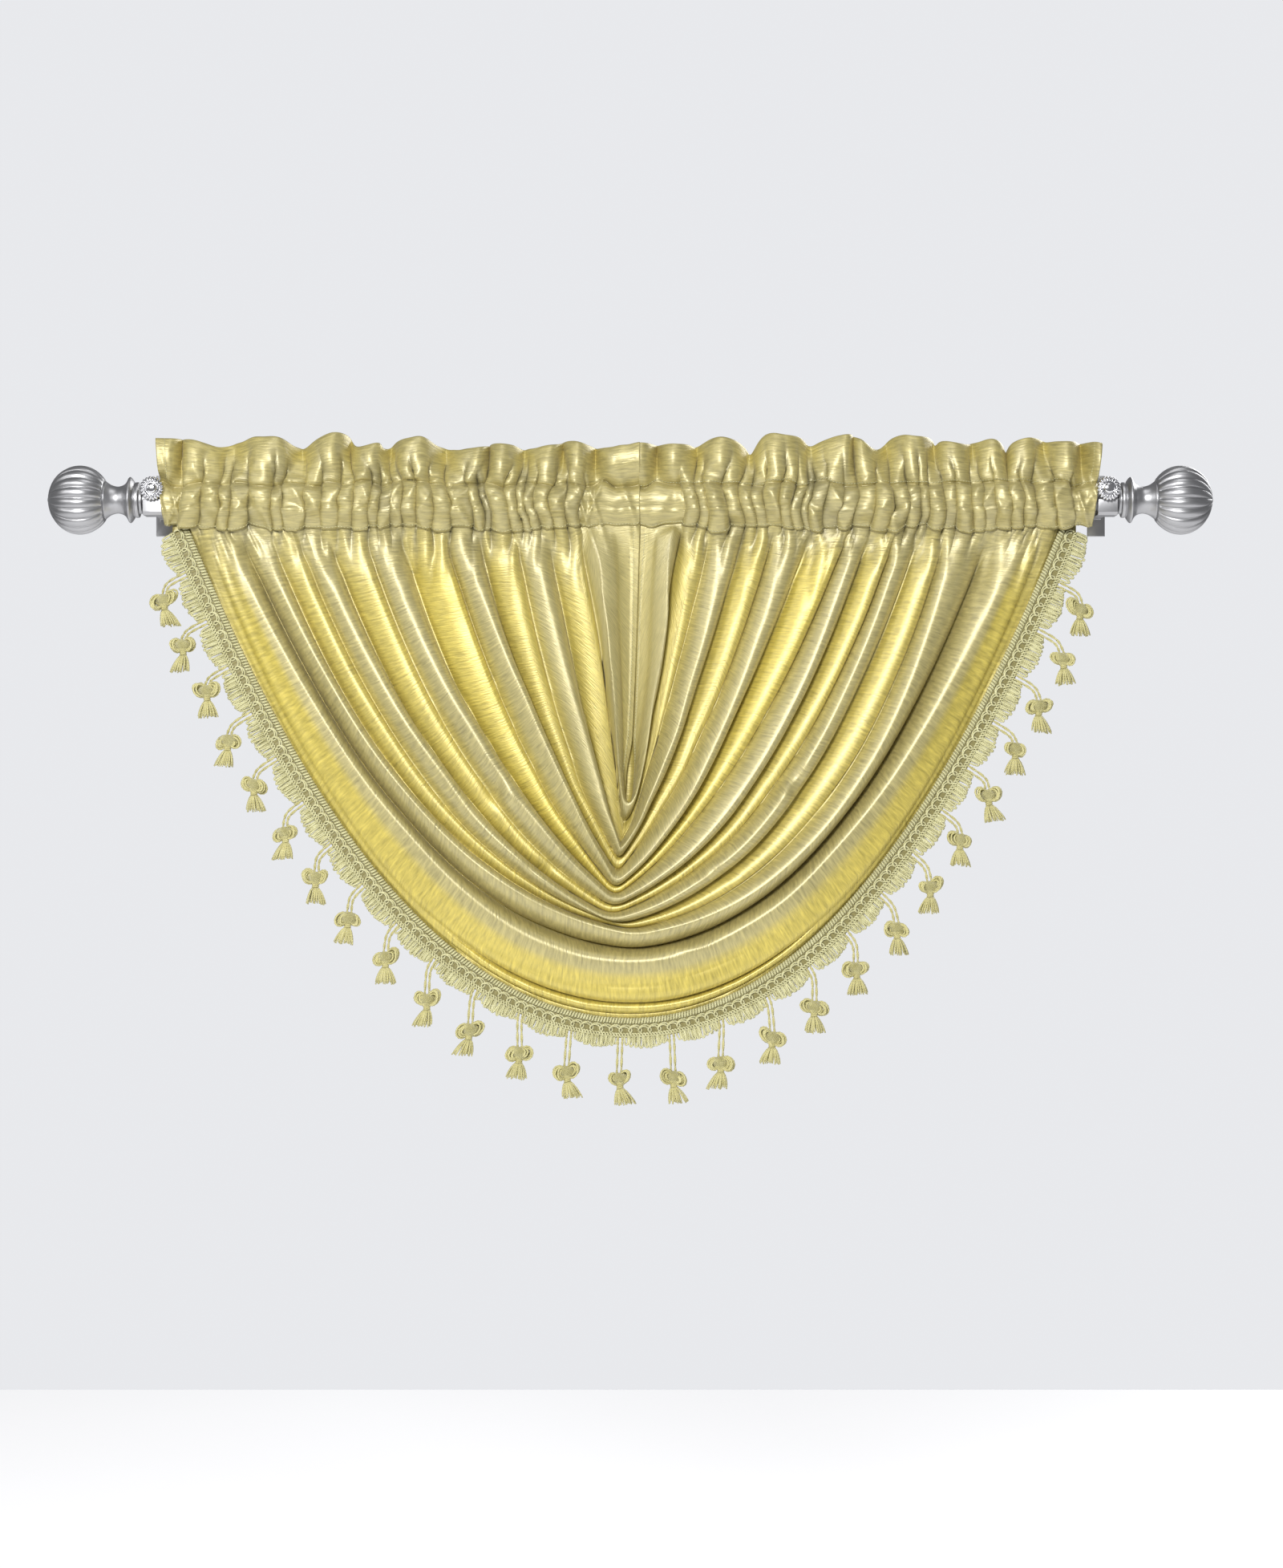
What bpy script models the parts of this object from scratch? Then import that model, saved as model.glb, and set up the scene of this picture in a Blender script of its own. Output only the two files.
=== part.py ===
"""A waterfall valance gathered on a curtain rod, with tasselled trim.

Metres, +Z up. The origin is on the wall, level with the rod and midway between
the two brackets. The front faces -Y and the rod runs along X.

The cloth is one sheet. Its two upper ends are folded over the rod as a header
and a pocket, and between them it falls in nested folds, each a crest that runs
from the left pocket down to a tip and up to the right pocket.
"""

import math
from typing import NamedTuple

import bmesh
import bpy
import numpy as np

# Rod and brackets
ROD_REACH = 0.080  # rod's axis in front of the wall
ROD_RADIUS = 0.011
ROD_HALF = 0.4875
ROD_SIDES = 28
BRACKET_X = 0.476
PLATE = (0.018, 0.003, 0.062)  # width, thickness, height
ARM = (0.009, 0.009)  # width, height
ARM_Z = -0.0085
CUP_WIDTH = 0.020
CUP_DEPTH = 0.016  # bottom of the cup below the rod's axis
CUP_WALL = 0.0155  # outside of the cup from the rod's axis
CUP_CHAMFER = 0.003
CUP_CLEARANCE = 0.0004
LUG = (0.008, 0.0030, 0.022)  # the ear in front of the rod that takes the screw
LUG_FRONT = 0.0155
ROSETTE_Z = 0.010
ROSETTE_RADIUS = 0.012
ROSETTE_TEETH = 20
TOUCH = 0.0003  # gap where two pieces meet

# Finials
FLUTES = 18
FLUTE_DEPTH = 0.0016
BALL_RADIUS = 0.0342
BALL_HALF = 0.0316  # half of the ball's length along the rod
BALL_CENTRE = 0.0628  # from the rod's end
NECK_END = 0.0360

# Cloth
THICK = 0.0015
SEAM_X = 0.009  # where the two halves of the header meet
HEAD_Z = -0.026  # where the drape leaves the pocket
HEAD_OUT = 0.0035  # drape in front of the rod's axis there
LAYERS = 0.0012  # each header layer from the middle between them
RUFFLE_TOP = 0.060
RUFFLE_WAVE = 0.0050
BAND = 0.018  # flat outer margin that carries the tape
SWAG_ROWS = 11

# Trim
TAPE_START = 0.001  # from the inner edge of the cloth's margin
TAPE_WIDTH = 0.020
TAPE_THICK = 0.0022
TAPE_GAP = 0.0004
TASSELS = 27
TASSEL_PITCH = 0.0512
MIDDLE_TASSEL = -0.010  # along the tape, from the tape's lowest point
LOCKS = 4  # in each scallop of the fringe
LOCK_SHORT, LOCK_LONG = 0.011, 0.018  # where the tape hangs upright
LOCK_SHARE_LEVEL = 0.6  # of that length, where the tape runs level
LOCK_TAPER = 0.2
NOTCH = 0.012  # bare tape at each tassel
CORD_LENGTH = 0.039  # from the tape to the middle of the tassel's head
CORD_RUN = 0.024  # how far the cord runs out beside the fringe on the sides
RUN_RATE = 2  # how fast that run shortens as the tape comes level
CORD_RADIUS = 0.0014
CLEAR_RATE = 7  # how fast the heads come forward of the fringe as the tape steepens
CORD_APART = 0.0022
HEAD_HALF = (0.0145, 0.0095)  # tassel head's half width and half depth
SKIRT_LENGTH = 0.018
SKIRT_LOCKS = 4

COLOURS = {
    "cloth": (0.52, 0.44, 0.13),
    "trim": (0.62, 0.58, 0.26),
    "steel": (0.36, 0.36, 0.37),
    "chrome": (0.62, 0.62, 0.64),
}


class Fold(NamedTuple):
    """A crest: where it leaves each pocket, its lean from upright there, its tip, its
    rise above level at the tip, and how far it stands forward."""

    name: str
    left_head: float
    left_lean: float
    left_rise: float
    tip_x: float
    tip_z: float
    right_rise: float
    right_lean: float
    right_head: float
    bulge: float
    stand_head: float
    stand_tip: float


FOLDS = (
    Fold("hem", 0.0080, -1.6, 93.8, -0.0024, -0.306, 81.9, 0.8, 0.0100, 0.004, 0.000, 0.000),
    Fold("a", -0.044, 22, 86, -0.0024, -0.311, 83, 23, 0.043, 0.008, 0.004, 0.006),
    Fold("b", -0.060, 11, 76, -0.006, -0.332, 72, 12, 0.069, 0.012, 0.002, 0.000),
    Fold("c", -0.102, 13.5, 62, -0.010, -0.350, 59, 15, 0.103, 0.022, 0.005, 0.009),
    Fold("d", -0.126, 9, 60, -0.012, -0.366, 50, 15, 0.135, 0.020, 0.003, 0.001),
    Fold("e", -0.173, 17, 58, -0.015, -0.382, 38, 17, 0.163, 0.026, 0.005, 0.010),
    Fold("f", -0.197, 15, 48, -0.016, -0.392, 33, 22, 0.214, 0.025, 0.003, 0.002),
    Fold("g", -0.254, 18, 38, -0.016, -0.401, 25, 18, 0.230, 0.028, 0.005, 0.009),
    Fold("gg", -0.279, 18, 30, -0.019, -0.410, 18, 18, 0.261, 0.027, 0.003, 0.001),
    Fold("h", -0.325, 22, 22, -0.020, -0.419, 13, 18, 0.277, 0.029, 0.005, 0.009),
    Fold("ii", -0.345, 20, 14, -0.004, -0.425, 9, 16, 0.310, 0.028, 0.003, 0.001),
    Fold("i", -0.376, 22, 8, 0.004, -0.433, 6, 14, 0.328, 0.030, 0.005, 0.010),
    Fold("j", -0.411, 25, 0, -0.002, -0.462, 0, 24, 0.398, 0.027, 0.005, 0.009),
    Fold("k", -0.423, 21, 0, 0.001, -0.495, 0, 20, 0.411, 0.020, 0.003, 0.006),
    Fold("l", -0.432, 21, 0, 0.001, -0.509, 0, 21, 0.420, 0.014, 0.001, 0.003),
    Fold("edge", -0.441, 22, 0, 0.000, -0.516, 0, 22, 0.429, 0.010, 0.000, 0.000),
)
WIDE_FROM = "i"  # from this crest outwards the cloth between two crests has two steps
VALLEY = 0.006  # how far the cloth lies back under a crest

# Header and pocket, from the hem behind the rod over the top to the stitches in
# front: distance in front of the rod's axis, height, share of the ruffle's waves.
HEADER = (
    (-0.0012, -0.0240, 0.0),
    (-0.0128, -0.0090, 0.0),
    (-0.0128, 0.0070, 0.0),
    (-LAYERS, 0.0133, 0.0),
    (-LAYERS, 0.0380, 0.7),
    (-LAYERS, RUFFLE_TOP, 1.0),
    (LAYERS, RUFFLE_TOP, 1.0),
    (LAYERS, 0.0380, 0.7),
    (LAYERS, 0.0133, 0.0),
    (0.0130, 0.0070, 0.0),
    (0.0132, -0.0090, 0.0),
    (0.0016, -0.0220, 0.0),
)
POCKET_PUCKER = 0.0022
HEADER_END = {  # outer end of the header at the stitches below the rod and at its top
    -1: (-0.4600, -0.4720),
    1: (0.4570, 0.4700),
}


def material(name, kind, roughness, metallic):
    """A plain Principled material in one of the object's colours."""
    made = bpy.data.materials.new(name)
    made.use_nodes = True
    shader = made.node_tree.nodes["Principled BSDF"]
    shader.inputs["Base Color"].default_value = (*COLOURS[kind], 1.0)
    shader.inputs["Roughness"].default_value = roughness
    shader.inputs["Metallic"].default_value = metallic
    return made


def add_object(name, points, faces, look, smooth=False):
    """A named object from points and faces, with its faces turned outwards."""
    mesh = bpy.data.meshes.new(name)
    mesh.from_pydata([tuple(map(float, p)) for p in points], [], faces)
    shape = bmesh.new()
    shape.from_mesh(mesh)
    bmesh.ops.recalc_face_normals(shape, faces=shape.faces)
    if shape.calc_volume(signed=True) < 0:
        bmesh.ops.reverse_faces(shape, faces=shape.faces)
    shape.to_mesh(mesh)
    shape.free()
    made = bpy.data.objects.new(name, mesh)
    bpy.context.scene.collection.objects.link(made)
    mesh.materials.append(look)
    if smooth:
        mesh.shade_smooth()
        mesh.set_sharp_from_angle(angle=math.radians(40))
    return made


def join_to(body, parts):
    """Unites other objects with a body, which keep as hidden guides."""
    for part in parts:
        part.hide_render = True
        part.display_type = "WIRE"
        union = body.modifiers.new("with " + part.name, "BOOLEAN")
        union.operation = "UNION"
        union.solver = "EXACT"
        union.object = part


def box(low, high):
    """Points and faces of an upright box between two corners."""
    points = [(x, y, z) for x in (low[0], high[0]) for y in (low[1], high[1]) for z in (low[2], high[2])]
    faces = [(0, 1, 3, 2), (4, 6, 7, 5), (0, 4, 5, 1), (2, 3, 7, 6), (0, 2, 6, 4), (1, 5, 7, 3)]
    return points, faces


def rings(loops):
    """Points and faces of a closed skin over loops of equal length, capped at both ends."""
    size = len(loops[0])
    points = [p for loop in loops for p in loop]
    faces = []
    for i in range(len(loops) - 1):
        for j in range(size):
            a, b = i * size + j, i * size + (j + 1) % size
            faces.append((a, b, b + size, a + size))
    faces.append(tuple(range(size)))
    faces.append(tuple(range(len(points) - size, len(points))))
    return points, faces


# Drape


def tip_of(fold):
    return np.array([fold.tip_x, fold.tip_z])


def knee(fold, side):
    """Where the crest's line at the pocket meets its line at the tip."""
    head, lean, rise = (
        (fold.left_head, fold.left_lean, fold.left_rise)
        if side < 0
        else (fold.right_head, fold.right_lean, fold.right_rise)
    )
    start = np.array([head, HEAD_Z])
    down = np.array([-side * math.sin(math.radians(lean)), -math.cos(math.radians(lean))])
    up = np.array([side * math.cos(math.radians(rise)), math.sin(math.radians(rise))])
    along = np.linalg.solve(np.column_stack([down, -up]), tip_of(fold) - start)
    return start, start + along[0] * down


def crest(fold, side, t):
    """A crest's points in the XZ plane, and its direction, at t from the pocket to the tip."""
    start, middle = knee(fold, side)
    t = np.atleast_1d(t)[:, None]
    points = (1 - t) ** 2 * start + 2 * t * (1 - t) * middle + t**2 * tip_of(fold)
    along = (1 - t) * (middle - start) + t * (tip_of(fold) - middle)
    return points, along / np.linalg.norm(along, axis=1)[:, None]


def outward(along, side):
    """Square to the tape's edge, away from the cloth."""
    return side * np.column_stack([-along[:, 1], along[:, 0]])


def drop_forward(fold, t):
    """How far the base of a fold lies in front of the wall."""
    return ROD_REACH + HEAD_OUT + fold.bulge * (1 - (1 - t) ** 2)


def stand(fold, t):
    return fold.stand_head + (fold.stand_tip - fold.stand_head) * np.minimum(1, 2 * t)


def drape(side, t):
    """The drape's surface on one side, stations across by t along."""
    columns = []
    wide = False
    for here, after in zip(FOLDS, (*FOLDS[1:], None)):
        line, along = crest(here, side, t)
        front = drop_forward(here, t) + stand(here, t)
        columns.append(np.column_stack([line[:, 0], -front, line[:, 1]]))
        wide = wide or here.name == WIDE_FROM
        if after is None:
            margin = line + BAND * outward(along, side)
            columns.append(np.column_stack([margin[:, 0], -front, margin[:, 1]]))
            break
        beyond, _ = crest(after, side, t)
        steps = ((0.32, -1.0), (0.68, 0.25)) if wide else ((0.45, -1.0),)
        for share, height in steps:
            mixed = (1 - share) * line + share * beyond
            base = (1 - share) * drop_forward(here, t) + share * drop_forward(after, t)
            depth = VALLEY * np.minimum(1, 0.35 + 1.6 * t) * height
            columns.append(np.column_stack([mixed[:, 0], -(base + depth), mixed[:, 1]]))
    return np.stack(columns)


def ruffle(x):
    """Waves of the gathered header along the rod, from -1 to 1."""
    return 0.6 * np.sin(2 * np.pi * x / 0.061 + 0.8) + 0.4 * np.sin(2 * np.pi * x / 0.037)


def header(side, heads):
    """The header's and pocket's rows above a row of stations at the pocket's lower edge."""
    low, high = HEADER_END[side]
    end = heads[-1]
    rows = []
    for front, height, waves in HEADER:
        reach = low + (high - low) * (height - HEADER[0][1]) / (RUFFLE_TOP - HEADER[0][1])
        x = SEAM_X + (heads - SEAM_X) * (reach - SEAM_X) / (end - SEAM_X)
        pucker = POCKET_PUCKER * (0.5 + 0.5 * ruffle(x)) * (front > 2 * LAYERS)
        y = -(ROD_REACH + front + pucker) - RUFFLE_WAVE * waves * ruffle(x + 0.01)
        top = 0.004 * ruffle(x * 0.8) if height == RUFFLE_TOP else 0.0
        rows.append(np.column_stack([x, y, height + top + 0 * x]))
    return rows


def cloth_grid():
    """The middle surface of the whole cloth, rows from the left hem behind the rod to the right one."""
    steps = np.linspace(0, 1, SWAG_ROWS + 1)
    left = drape(-1, steps)
    right = drape(1, steps)
    rows = header(-1, left[:, 0, 0])
    rows += [left[:, i] for i in range(SWAG_ROWS + 1)]
    rows += [right[:, i] for i in range(SWAG_ROWS - 1, -1, -1)]
    rows += header(1, right[:, 0, 0])[::-1]
    return np.stack(rows)


def vertex_normals(grid):
    """Unit normals of a grid of points."""
    along = np.gradient(grid, axis=0)
    across = np.gradient(grid, axis=1)
    normal = np.cross(along, across)
    return normal / np.linalg.norm(normal, axis=2)[:, :, None]


def sheet(grid, thick):
    """Points and faces of a closed sheet of even thickness over a grid."""
    normal = vertex_normals(grid)
    rows, columns = grid.shape[:2]
    front = (grid + 0.5 * thick * normal).reshape(-1, 3)
    back = (grid - 0.5 * thick * normal).reshape(-1, 3)
    count = rows * columns
    faces = []
    for i in range(rows - 1):
        for j in range(columns - 1):
            a = i * columns + j
            quad = (a, a + 1, a + 1 + columns, a + columns)
            faces.append(quad)
            faces.append(tuple(count + p for p in reversed(quad)))
    rim = [j for j in range(columns)]
    rim += [i * columns + columns - 1 for i in range(1, rows)]
    rim += [(rows - 1) * columns + j for j in range(columns - 2, -1, -1)]
    rim += [i * columns for i in range(rows - 2, 0, -1)]
    for a, b in zip(rim, (*rim[1:], rim[0])):
        faces.append((b, a, count + a, count + b))
    return np.concatenate([front, back]), faces


# Trim


class Edge:
    """The line that the tape follows, measured from its lowest point."""

    def __init__(self):
        fold = FOLDS[-1]
        t = np.linspace(0, 1, 400)
        left, left_along = crest(fold, -1, t)
        right, right_along = crest(fold, 1, t)
        self.line = np.concatenate([left, right[-2::-1]])
        normal = np.concatenate([outward(left_along, -1), outward(right_along, 1)[-2::-1]])
        self.normal = normal / np.linalg.norm(normal, axis=1)[:, None]
        self.front = np.concatenate([drop_forward(fold, t), drop_forward(fold, t)[-2::-1]])
        lower = self.line + (TAPE_START + TAPE_WIDTH) * self.normal
        gone = np.concatenate([[0], np.cumsum(np.linalg.norm(np.diff(lower, axis=0), axis=1))])
        self.along = gone - gone[len(left) - 1]

    def at(self, u, out):
        """The point on the cloth's margin at u along the tape and out from its inner edge."""
        mix = [np.interp(u, self.along, part) for part in (*self.line.T, *self.normal.T, self.front)]
        return np.array([mix[0] + out * mix[2], -mix[4], mix[1] + out * mix[3]])

    def way(self, u):
        """Along the tape, towards its right end."""
        across, up = (np.interp(u, self.along, part) for part in self.normal.T)
        return np.array([-up, 0.0, across])

    def level(self, u):
        """0 where the tape hangs upright, 1 where it runs level."""
        return -float(np.interp(u, self.along, self.normal[:, 1]))


def tassel_places():
    """Where each tassel's cord leaves the tape, along the tape."""
    return [MIDDLE_TASSEL + (i - TASSELS // 2) * TASSEL_PITCH for i in range(TASSELS)]


def fringe_cells(edge):
    """Stretches along the tape: start, end, and the length of the lock there or 0."""
    low, high = edge.along[0] + TOUCH, edge.along[-1] - TOUCH
    bounds = [low - NOTCH / 2, *tassel_places(), high + NOTCH / 2]
    cells = []
    for start, end in zip(bounds, bounds[1:]):
        begin, stop = start + NOTCH / 2, end - NOTCH / 2
        pitch = (stop - begin) / LOCKS
        for i in range(LOCKS):
            middle = math.sin(math.pi * (i + 0.5) / LOCKS)
            length = LOCK_SHORT + (LOCK_LONG - LOCK_SHORT) * middle
            length *= 1 - (1 - LOCK_SHARE_LEVEL) * edge.level((start + end) / 2)
            cells.append((begin + i * pitch, begin + (i + 0.86) * pitch, length))
            if i < LOCKS - 1:
                cells.append((begin + (i + 0.86) * pitch, begin + (i + 1) * pitch, 0.0))
        cells.append((begin + (LOCKS - 0.14) * pitch, end + NOTCH / 2, 0.0))
    return [cell for cell in cells if cell[0] < high - TOUCH]


def tape(edge):
    """Points and faces of the tape with the fringe's locks along its lower edge."""
    lower = TAPE_START + TAPE_WIDTH
    back = THICK / 2 + TAPE_GAP
    points, faces, index = [], [], {}

    def corner(key, u, out, layer):
        if key not in index:
            place = edge.at(u, out)
            place[1] -= back + layer * TAPE_THICK
            index[key] = len(points)
            points.append(place)
        return index[key]

    outline = {}

    def cell(names, places):
        """A flat piece, front and back; its free edges are closed afterwards."""
        for layer in (0, 1):
            ids = [corner((*n, layer), *p, layer) for n, p in zip(names, places)]
            faces.append(tuple(ids) if layer else tuple(reversed(ids)))
        for a, b in zip(names, (*names[1:], names[0])):
            if (b, a) in outline:
                del outline[(b, a)]
            else:
                outline[(a, b)] = True

    for i, (start, end, length) in enumerate(fringe_cells(edge)):
        end = min(end, edge.along[-1] - TOUCH)
        cell(
            [(i, "top"), (i + 1, "top"), (i + 1, "low"), (i, "low")],
            [(start, TAPE_START), (end, TAPE_START), (end, lower), (start, lower)],
        )
        if length:
            inset = LOCK_TAPER * (end - start)
            cell(
                [(i, "low"), (i + 1, "low"), (i, "right"), (i, "left")],
                [
                    (start, lower),
                    (end, lower),
                    (end - inset, lower + length),
                    (start + inset, lower + length),
                ],
            )
    for a, b in outline:
        faces.append((index[(*b, 1)], index[(*a, 1)], index[(*a, 0)], index[(*b, 0)]))
    return points, faces


def strand(path, radius, sides=3):
    """A thin closed tube through a few points, with its rings square to the path."""
    path = np.array(path)
    along = np.gradient(path, axis=0)
    loops = []
    for place, way in zip(path, along):
        across = np.cross(way, (0, 1, 0))
        across /= np.linalg.norm(across)
        deep = np.cross(across, way) / np.linalg.norm(way)
        angles = [2 * math.pi * i / sides for i in range(sides)]
        loops.append([place + radius * (math.cos(a) * across + math.sin(a) * deep) for a in angles])
    return rings(loops)


def tassel(number, edge, u, look, rng):
    """A tassel: wound head, flared skirt of locks and a doubled cord up to the tape."""
    level = edge.level(u)
    lower = TAPE_START + TAPE_WIDTH
    forward = np.array([0, -(THICK / 2 + TAPE_GAP + TAPE_THICK / 2), 0])
    start = edge.at(u, lower + TOUCH) + forward
    clear = min(1, CLEAR_RATE * (1 - level)) * (HEAD_HALF[1] + TAPE_THICK)
    run = CORD_RUN * min(1, RUN_RATE * (1 - level))
    turn = edge.at(u, lower + TOUCH + max(run, 2 * CORD_RADIUS)) + forward
    fall = CORD_LENGTH - run + rng.uniform(-0.003, 0.003)
    middle = turn + np.array([rng.uniform(-0.002, 0.002), -clear, -fall])
    tilt = rng.uniform(-0.12, 0.12)

    def hang(x, y, z):
        return middle + np.array(
            [x * math.cos(tilt) - z * math.sin(tilt), y, x * math.sin(tilt) + z * math.cos(tilt)]
        )

    profile = ((0.0070, 0.35), (0.0020, 1.0), (-0.0045, 0.85), (-0.0085, 0.30), (-0.0110, 0.38))
    loops = [
        [
            hang(
                share * HEAD_HALF[0] * math.cos(math.pi * (i + 0.5) / 4),
                share * HEAD_HALF[1] * math.sin(math.pi * (i + 0.5) / 4),
                z,
            )
            for i in range(8)
        ]
        for z, share in profile
    ]
    body = add_object(f"tassel_{number:02d}", *rings(loops), look, smooth=True)
    points, faces = [], []

    def include(shape):
        faces.extend(tuple(len(points) + p for p in face) for face in shape[1])
        points.extend(shape[0])

    for i in range(SKIRT_LOCKS):
        angle = 2 * math.pi * (i + 0.5) / SKIRT_LOCKS
        across, deep = math.cos(angle), math.sin(angle)
        root = hang(0.0031 * across, 0.0022 * deep, -0.0090)
        foot = hang(0.0085 * across, 0.0050 * deep, -0.0090 - SKIRT_LENGTH)
        loops = []
        for place, size in ((root, 0.0011), (foot, 0.0030)):
            corners = [angle + 2 * math.pi * k / 3 for k in range(3)]
            loops.append([place + size * np.array([math.cos(a), math.sin(a), 0]) for a in corners])
        include(rings(loops))
    for part in (-1, 1):
        aside = part * CORD_APART * edge.way(u)
        end = hang(part * CORD_APART, 0, 0.0050)
        include(strand([start + aside, turn + aside, end], CORD_RADIUS))
    join_to(body, [add_object(f"tassel_{number:02d}_strands", points, faces, look)])
    return body


# Rod, finials and brackets


def turned(profile, side, start, flute=None, around=2 * FLUTES):
    """A piece turned about the rod's axis: profile of distance from start and radius."""
    loops = []
    for along, radius, fluted in profile:
        loop = []
        for i in range(around):
            angle = 2 * math.pi * i / around
            here = radius - (flute * fluted if flute and i % 2 else 0.0)
            loop.append(
                (side * (start + along), -ROD_REACH + here * math.cos(angle), here * math.sin(angle))
            )
        loops.append(loop)
    return rings(loops)


def finial(side, look):
    """A fluted ball on a waisted neck, with a disc and a shoulder against the rod's end."""
    profile = [
        (0.0, 0.0140, 0),
        (0.0028, 0.0140, 0),
        (0.0030, 0.0176, 0),
        (0.0072, 0.0176, 0),
        (0.0125, 0.0230, 0),
        (0.0176, 0.0160, 0),
        (0.0256, 0.0135, 0),
        (NECK_END, 0.0172, 0),
    ]
    for share in (-0.72, -0.42, -0.05, 0.32, 0.62, 0.85, 0.97):
        radius = BALL_RADIUS * math.sqrt(1 - share**2)
        profile.append((BALL_CENTRE + share * BALL_HALF, radius, math.sqrt(1 - share**2)))
    name = "finial_left" if side < 0 else "finial_right"
    shape = turned(profile, side, ROD_HALF + TOUCH, FLUTE_DEPTH)
    return add_object(name, *shape, look, smooth=True)


def bracket(side, look):
    """Wall plate, arm, and the cup that the rod lies in, with the screw's ear in front of it."""
    x = side * BRACKET_X
    name = "bracket_left" if side < 0 else "bracket_right"
    arc = ROD_RADIUS + CUP_CLEARANCE
    outline = [
        (-CUP_WALL, 0.0),
        (-CUP_WALL, CUP_CHAMFER - CUP_DEPTH),
        (CUP_CHAMFER - CUP_WALL, -CUP_DEPTH),
        (CUP_WALL - CUP_CHAMFER, -CUP_DEPTH),
        (CUP_WALL, CUP_CHAMFER - CUP_DEPTH),
        (CUP_WALL, 0.0),
    ]
    for i in range(11):
        angle = -math.pi * i / 10
        outline.append((arc * math.cos(angle), arc * math.sin(angle)))
    loops = [
        [(x + part * CUP_WIDTH / 2, -ROD_REACH + y, z) for y, z in outline] for part in (-1, 1)
    ]
    cup = add_object(name, *rings(loops), look)
    plate = box(
        (x - PLATE[0] / 2, -PLATE[1], -PLATE[2] / 2), (x + PLATE[0] / 2, 0.0, PLATE[2] / 2)
    )
    arm = box(
        (x - ARM[0] / 2, CUP_WALL - 0.002 - ROD_REACH, ARM_Z - ARM[1] / 2),
        (x + ARM[0] / 2, -PLATE[1] / 2, ARM_Z + ARM[1] / 2),
    )
    ear = box(
        (x - LUG[0] / 2, -ROD_REACH - LUG_FRONT, -0.004),
        (x + LUG[0] / 2, -ROD_REACH - LUG_FRONT + LUG[1], LUG[2] - 0.004),
    )
    shapes = (("plate", plate), ("arm", arm), ("ear", ear))
    join_to(cup, [add_object(f"{name}_{part}", *shape, look) for part, shape in shapes])
    return cup


def rosette(side, look):
    """The head of the screw: a toothed rim round a domed boss, square to the wall."""
    x = side * BRACKET_X
    seat = ROD_REACH + LUG_FRONT + TOUCH
    loops = []
    for out, radius, tooth in (
        (0.0, 0.0050, 0.0),
        (0.0030, 0.0060, 0.0),
        (0.0035, ROSETTE_RADIUS, 0.0016),
        (0.0070, ROSETTE_RADIUS - 0.0012, 0.0016),
        (0.0075, 0.0062, 0.0),
        (0.0105, 0.0046, 0.0),
    ):
        loop = []
        for i in range(2 * ROSETTE_TEETH):
            angle = math.pi * i / ROSETTE_TEETH
            here = radius - (tooth if i % 2 else 0.0)
            loop.append((x + here * math.cos(angle), -seat - out, ROSETTE_Z + here * math.sin(angle)))
        loops.append(loop)
    name = "rosette_left" if side < 0 else "rosette_right"
    return add_object(name, *rings(loops), look, smooth=True)


def rod(look):
    """The straight rod through the pocket."""
    loops = []
    for x in (-ROD_HALF, ROD_HALF):
        angles = [2 * math.pi * i / ROD_SIDES for i in range(ROD_SIDES)]
        loops.append(
            [
                (x, -ROD_REACH + ROD_RADIUS * math.cos(a), ROD_RADIUS * math.sin(a))
                for a in angles
            ]
        )
    return add_object("rod", *rings(loops), look, smooth=True)


def main():
    for old in list(bpy.data.objects):
        bpy.data.objects.remove(old, do_unlink=True)
    cloth = material("gold_satin", "cloth", 0.42, 0.0)
    trim = material("pale_gimp", "trim", 0.7, 0.0)
    steel = material("satin_steel", "steel", 0.38, 1.0)
    chrome = material("bright_chrome", "chrome", 0.15, 1.0)

    add_object("valance_cloth", *sheet(cloth_grid(), THICK), cloth, smooth=True)
    edge = Edge()
    add_object("tape_fringe", *tape(edge), trim)
    rng = np.random.default_rng(7)
    for number, u in enumerate(tassel_places(), start=1):
        tassel(number, edge, u, trim, rng)
    rod(steel)
    for side in (-1, 1):
        finial(side, steel)
        bracket(side, steel)
        rosette(side, chrome)


main()
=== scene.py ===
"""Looks of a waterfall valance on its curtain rod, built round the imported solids.

Metres, +Z up, the wall at y = 0 and the front towards -Y. The cloth is one sheet: a
header and a rod pocket on each side, and between them nested folds that fall to a
tip and rise again. The trim is a braided tape with looped fringe and small tassels.
"""

import logging
import math
from dataclasses import dataclass, field
from enum import Enum
from typing import Any, NamedTuple, Sequence, Union

import bmesh
import bpy
import numpy as np
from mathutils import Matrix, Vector


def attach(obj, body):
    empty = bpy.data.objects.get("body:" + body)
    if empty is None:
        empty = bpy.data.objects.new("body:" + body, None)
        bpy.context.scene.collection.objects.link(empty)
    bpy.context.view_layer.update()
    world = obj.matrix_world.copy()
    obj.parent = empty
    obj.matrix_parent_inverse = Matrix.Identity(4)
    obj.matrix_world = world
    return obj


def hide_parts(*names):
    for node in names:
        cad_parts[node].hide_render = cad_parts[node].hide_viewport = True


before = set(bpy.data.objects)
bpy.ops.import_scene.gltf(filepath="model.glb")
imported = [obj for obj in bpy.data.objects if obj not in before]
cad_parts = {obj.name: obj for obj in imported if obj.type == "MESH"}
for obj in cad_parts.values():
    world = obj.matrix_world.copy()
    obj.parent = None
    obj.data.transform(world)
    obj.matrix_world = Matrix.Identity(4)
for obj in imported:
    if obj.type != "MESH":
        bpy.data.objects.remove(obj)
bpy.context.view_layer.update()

log = logging.getLogger("valance")

Array = np.ndarray
Colour = tuple[float, float, float]

ROD_REACH = 0.080  # rod's axis in front of the wall
ROD_RADIUS = 0.011
ROD_HALF = 0.4875
TOUCH = 0.0003  # between two pieces
SIDES = {-1: "left", 1: "right"}


# Shader nodes


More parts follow.
